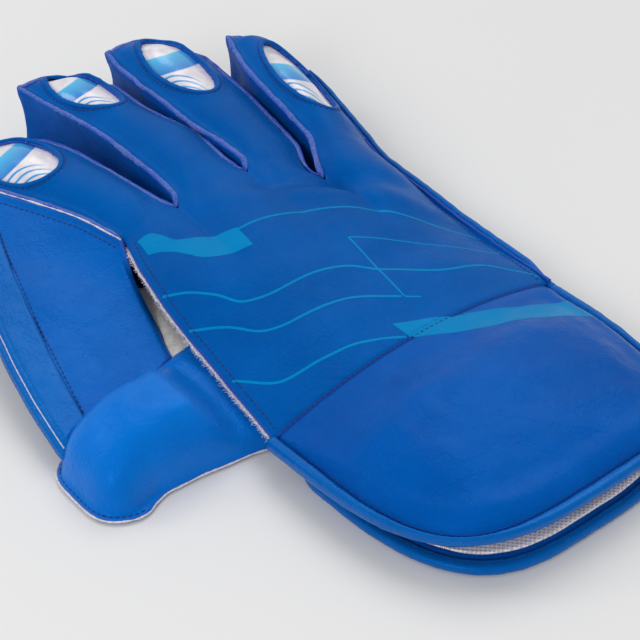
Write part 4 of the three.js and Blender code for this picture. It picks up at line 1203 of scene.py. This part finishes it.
def make_fibres(back):
    """Loose fibres of the felt along the raw edge of the back."""
    parts = []
    side = np.array([0.0, 0.05, 0.04])
    for _ in range(FIBRES):
        x, y = hand_line(0, random.random())
        start = drape(back, [(x + 0.4, y)])[0][0]
        out = x - 0.2 + random.uniform(-0.9, 0.4)
        root = np.array([out, y, start[2] - LEATHER - random.uniform(-0.1, 1.3)])
        way = np.array([random.uniform(-1, -0.1), random.uniform(-0.8, 0.8), random.uniform(-0.4, 0.9)])
        way *= random.uniform(0.5, 1.3) / np.linalg.norm(way)
        bend, end = root + way * 0.6 + UP * 0.1, root + way
        points = [root - side, root + side, bend - side * 0.8, bend + side * 0.8, end, end - UP * 0.02]
        parts.append((points, [[0, 1, 3, 2], [2, 3, 4]]))
    piece("felt_fibres", *merge(parts), FELT_WHITE)


def stitch_rows(back, cuff, web, thumb):
    """Paths of the visible stitch rows, each laid on its own surface."""
    raw = np.stack(hand_line(0, np.linspace(0.02, 0.97, 60)), 1) + (2.6, 0)
    outer = np.stack(hand_line(4, np.linspace(1, 0.02, 60)), 1) - (2.6, 0)
    little = finger_points(3, 0.91, np.linspace(0.78, 0.02, 60))[:, :2]
    seam_x = np.linspace(-60.5, 61, 80)
    rim, _ = cuff_rim(CUFF_WIDTH - 2 * BINDING_WIDTH - 1.6, CUFF_LENGTH - BINDING_WIDTH - 0.8)
    loops = [window_loop(f, 1.9) for f in range(len(FINGERS))]
    t = np.linspace(0.06, 0.93, 60)
    s = np.linspace(0.02, 0.86, 90)
    return {
        "raw_edge_stitches": [drape(back, raw)],
        "side_stitches": [drape(back, np.concatenate([little, outer]))],
        "wrist_stitches": [drape(back, np.stack([seam_x, 0.5 + 0 * seam_x], 1))],
        "cuff_stitches": [drape(cuff, rim[8:-8])],
        "window_stitches": [drape(back, np.concatenate([loop, loop[:1]])) for loop in loops],
        "thumb_stitches": [drape(thumb, thumb_inset(0.9)[48:98])],
        "web_stitches": [drape(web, web_point(t, web_share(t, 4.0, along_web=True))),
                         drape(web, web_point(trim_start(s) - web_share(s, 1.6), s))],
    }


# Floor, light and camera

CAMERA_TARGET, CAMERA_DISTANCE = (-14.5, 36, 15), 0.7
CAMERA_AZIMUTH, CAMERA_ELEVATION = -39, 40
SENSOR_WIDTH, FOCAL_PIXELS, PHOTO_PIXELS = 36, 1960, 640
DAYLIGHT, FLOOR_HALF = 0.555, 6.0


def make_stage():
    mesh = bpy.data.meshes.new("floor")
    corners = [(x * FLOOR_HALF, y * FLOOR_HALF, 0) for x, y in ((-1, -1), (1, -1), (1, 1), (-1, 1))]
    mesh.from_pydata(corners, [], [(0, 1, 2, 3)])
    s = Shader("pale_floor")
    s.set(Base_Color=s.mix(s.noise(3, 2), (228, 228, 228), (230, 230, 230)))
    s.set(Roughness=0.9, Specular_IOR_Level=0.1)
    mesh.materials.append(s.material)
    floor = add_object("floor", mesh)
    floor.location.z = -0.0004


def add_light(name, kind, place, power, **settings):
    """A light that shines from its place towards the glove."""
    light = bpy.data.lights.new(name, kind)
    light.energy = power
    for key, value in settings.items():
        setattr(light, key, value)
    obj = add_object(name, light)
    obj.location = place
    obj.rotation_euler = Vector(place).to_track_quat("Z", "Y").to_euler()


def make_light():
    world = bpy.data.worlds.new("studio")
    bpy.context.scene.world = world
    world.use_nodes = True
    background = world.node_tree.nodes["Background"]
    background.inputs["Color"].default_value = (1, 1, 1, 1)
    background.inputs["Strength"].default_value = DAYLIGHT
    add_light("window", "SUN", (0.42, 0.3, 0.86), 0.95, angle=math.radians(42))
    add_light("softbox", "AREA", (-0.55, 0.75, 0.8), 1.4, shape="DISK", size=0.35)
    add_light("fill", "AREA", (-1.9, -0.9, 1.3), 17.0, shape="DISK", size=1.0)
    bpy.context.scene.view_settings.view_transform = "Standard"


def make_camera():
    target = (SHIFT + CAMERA_TARGET) / 1000
    azimuth, elevation = math.radians(CAMERA_AZIMUTH), math.radians(CAMERA_ELEVATION)
    level = math.cos(elevation)
    back = Vector((math.sin(azimuth) * level, -math.cos(azimuth) * level, math.sin(elevation)))
    camera = bpy.data.cameras.new("camera")
    camera.sensor_width = SENSOR_WIDTH
    camera.lens = SENSOR_WIDTH * FOCAL_PIXELS / PHOTO_PIXELS
    obj = add_object("camera", camera)
    obj.location = Vector(target) + back * CAMERA_DISTANCE
    obj.rotation_euler = back.to_track_quat("Z", "Y").to_euler()
    bpy.context.scene.camera = obj


make_camera()
make_light()
make_stage()
BACK = make_back()
make_windows(BACK)
make_walls()
make_cut_edges()
make_web_fuzz()
make_side_binding()
THUMB_TOP = make_thumb()
WEB = make_web(THUMB_TOP)
CUFF = make_cuff()
make_palm()
make_suede()
make_felt(BACK)
make_fibres(BACK)
make_prints(BACK, CUFF)
for row_name, row_runs in stitch_rows(BACK, CUFF, WEB, THUMB_TOP).items():
    make_stitches(row_name, row_runs)
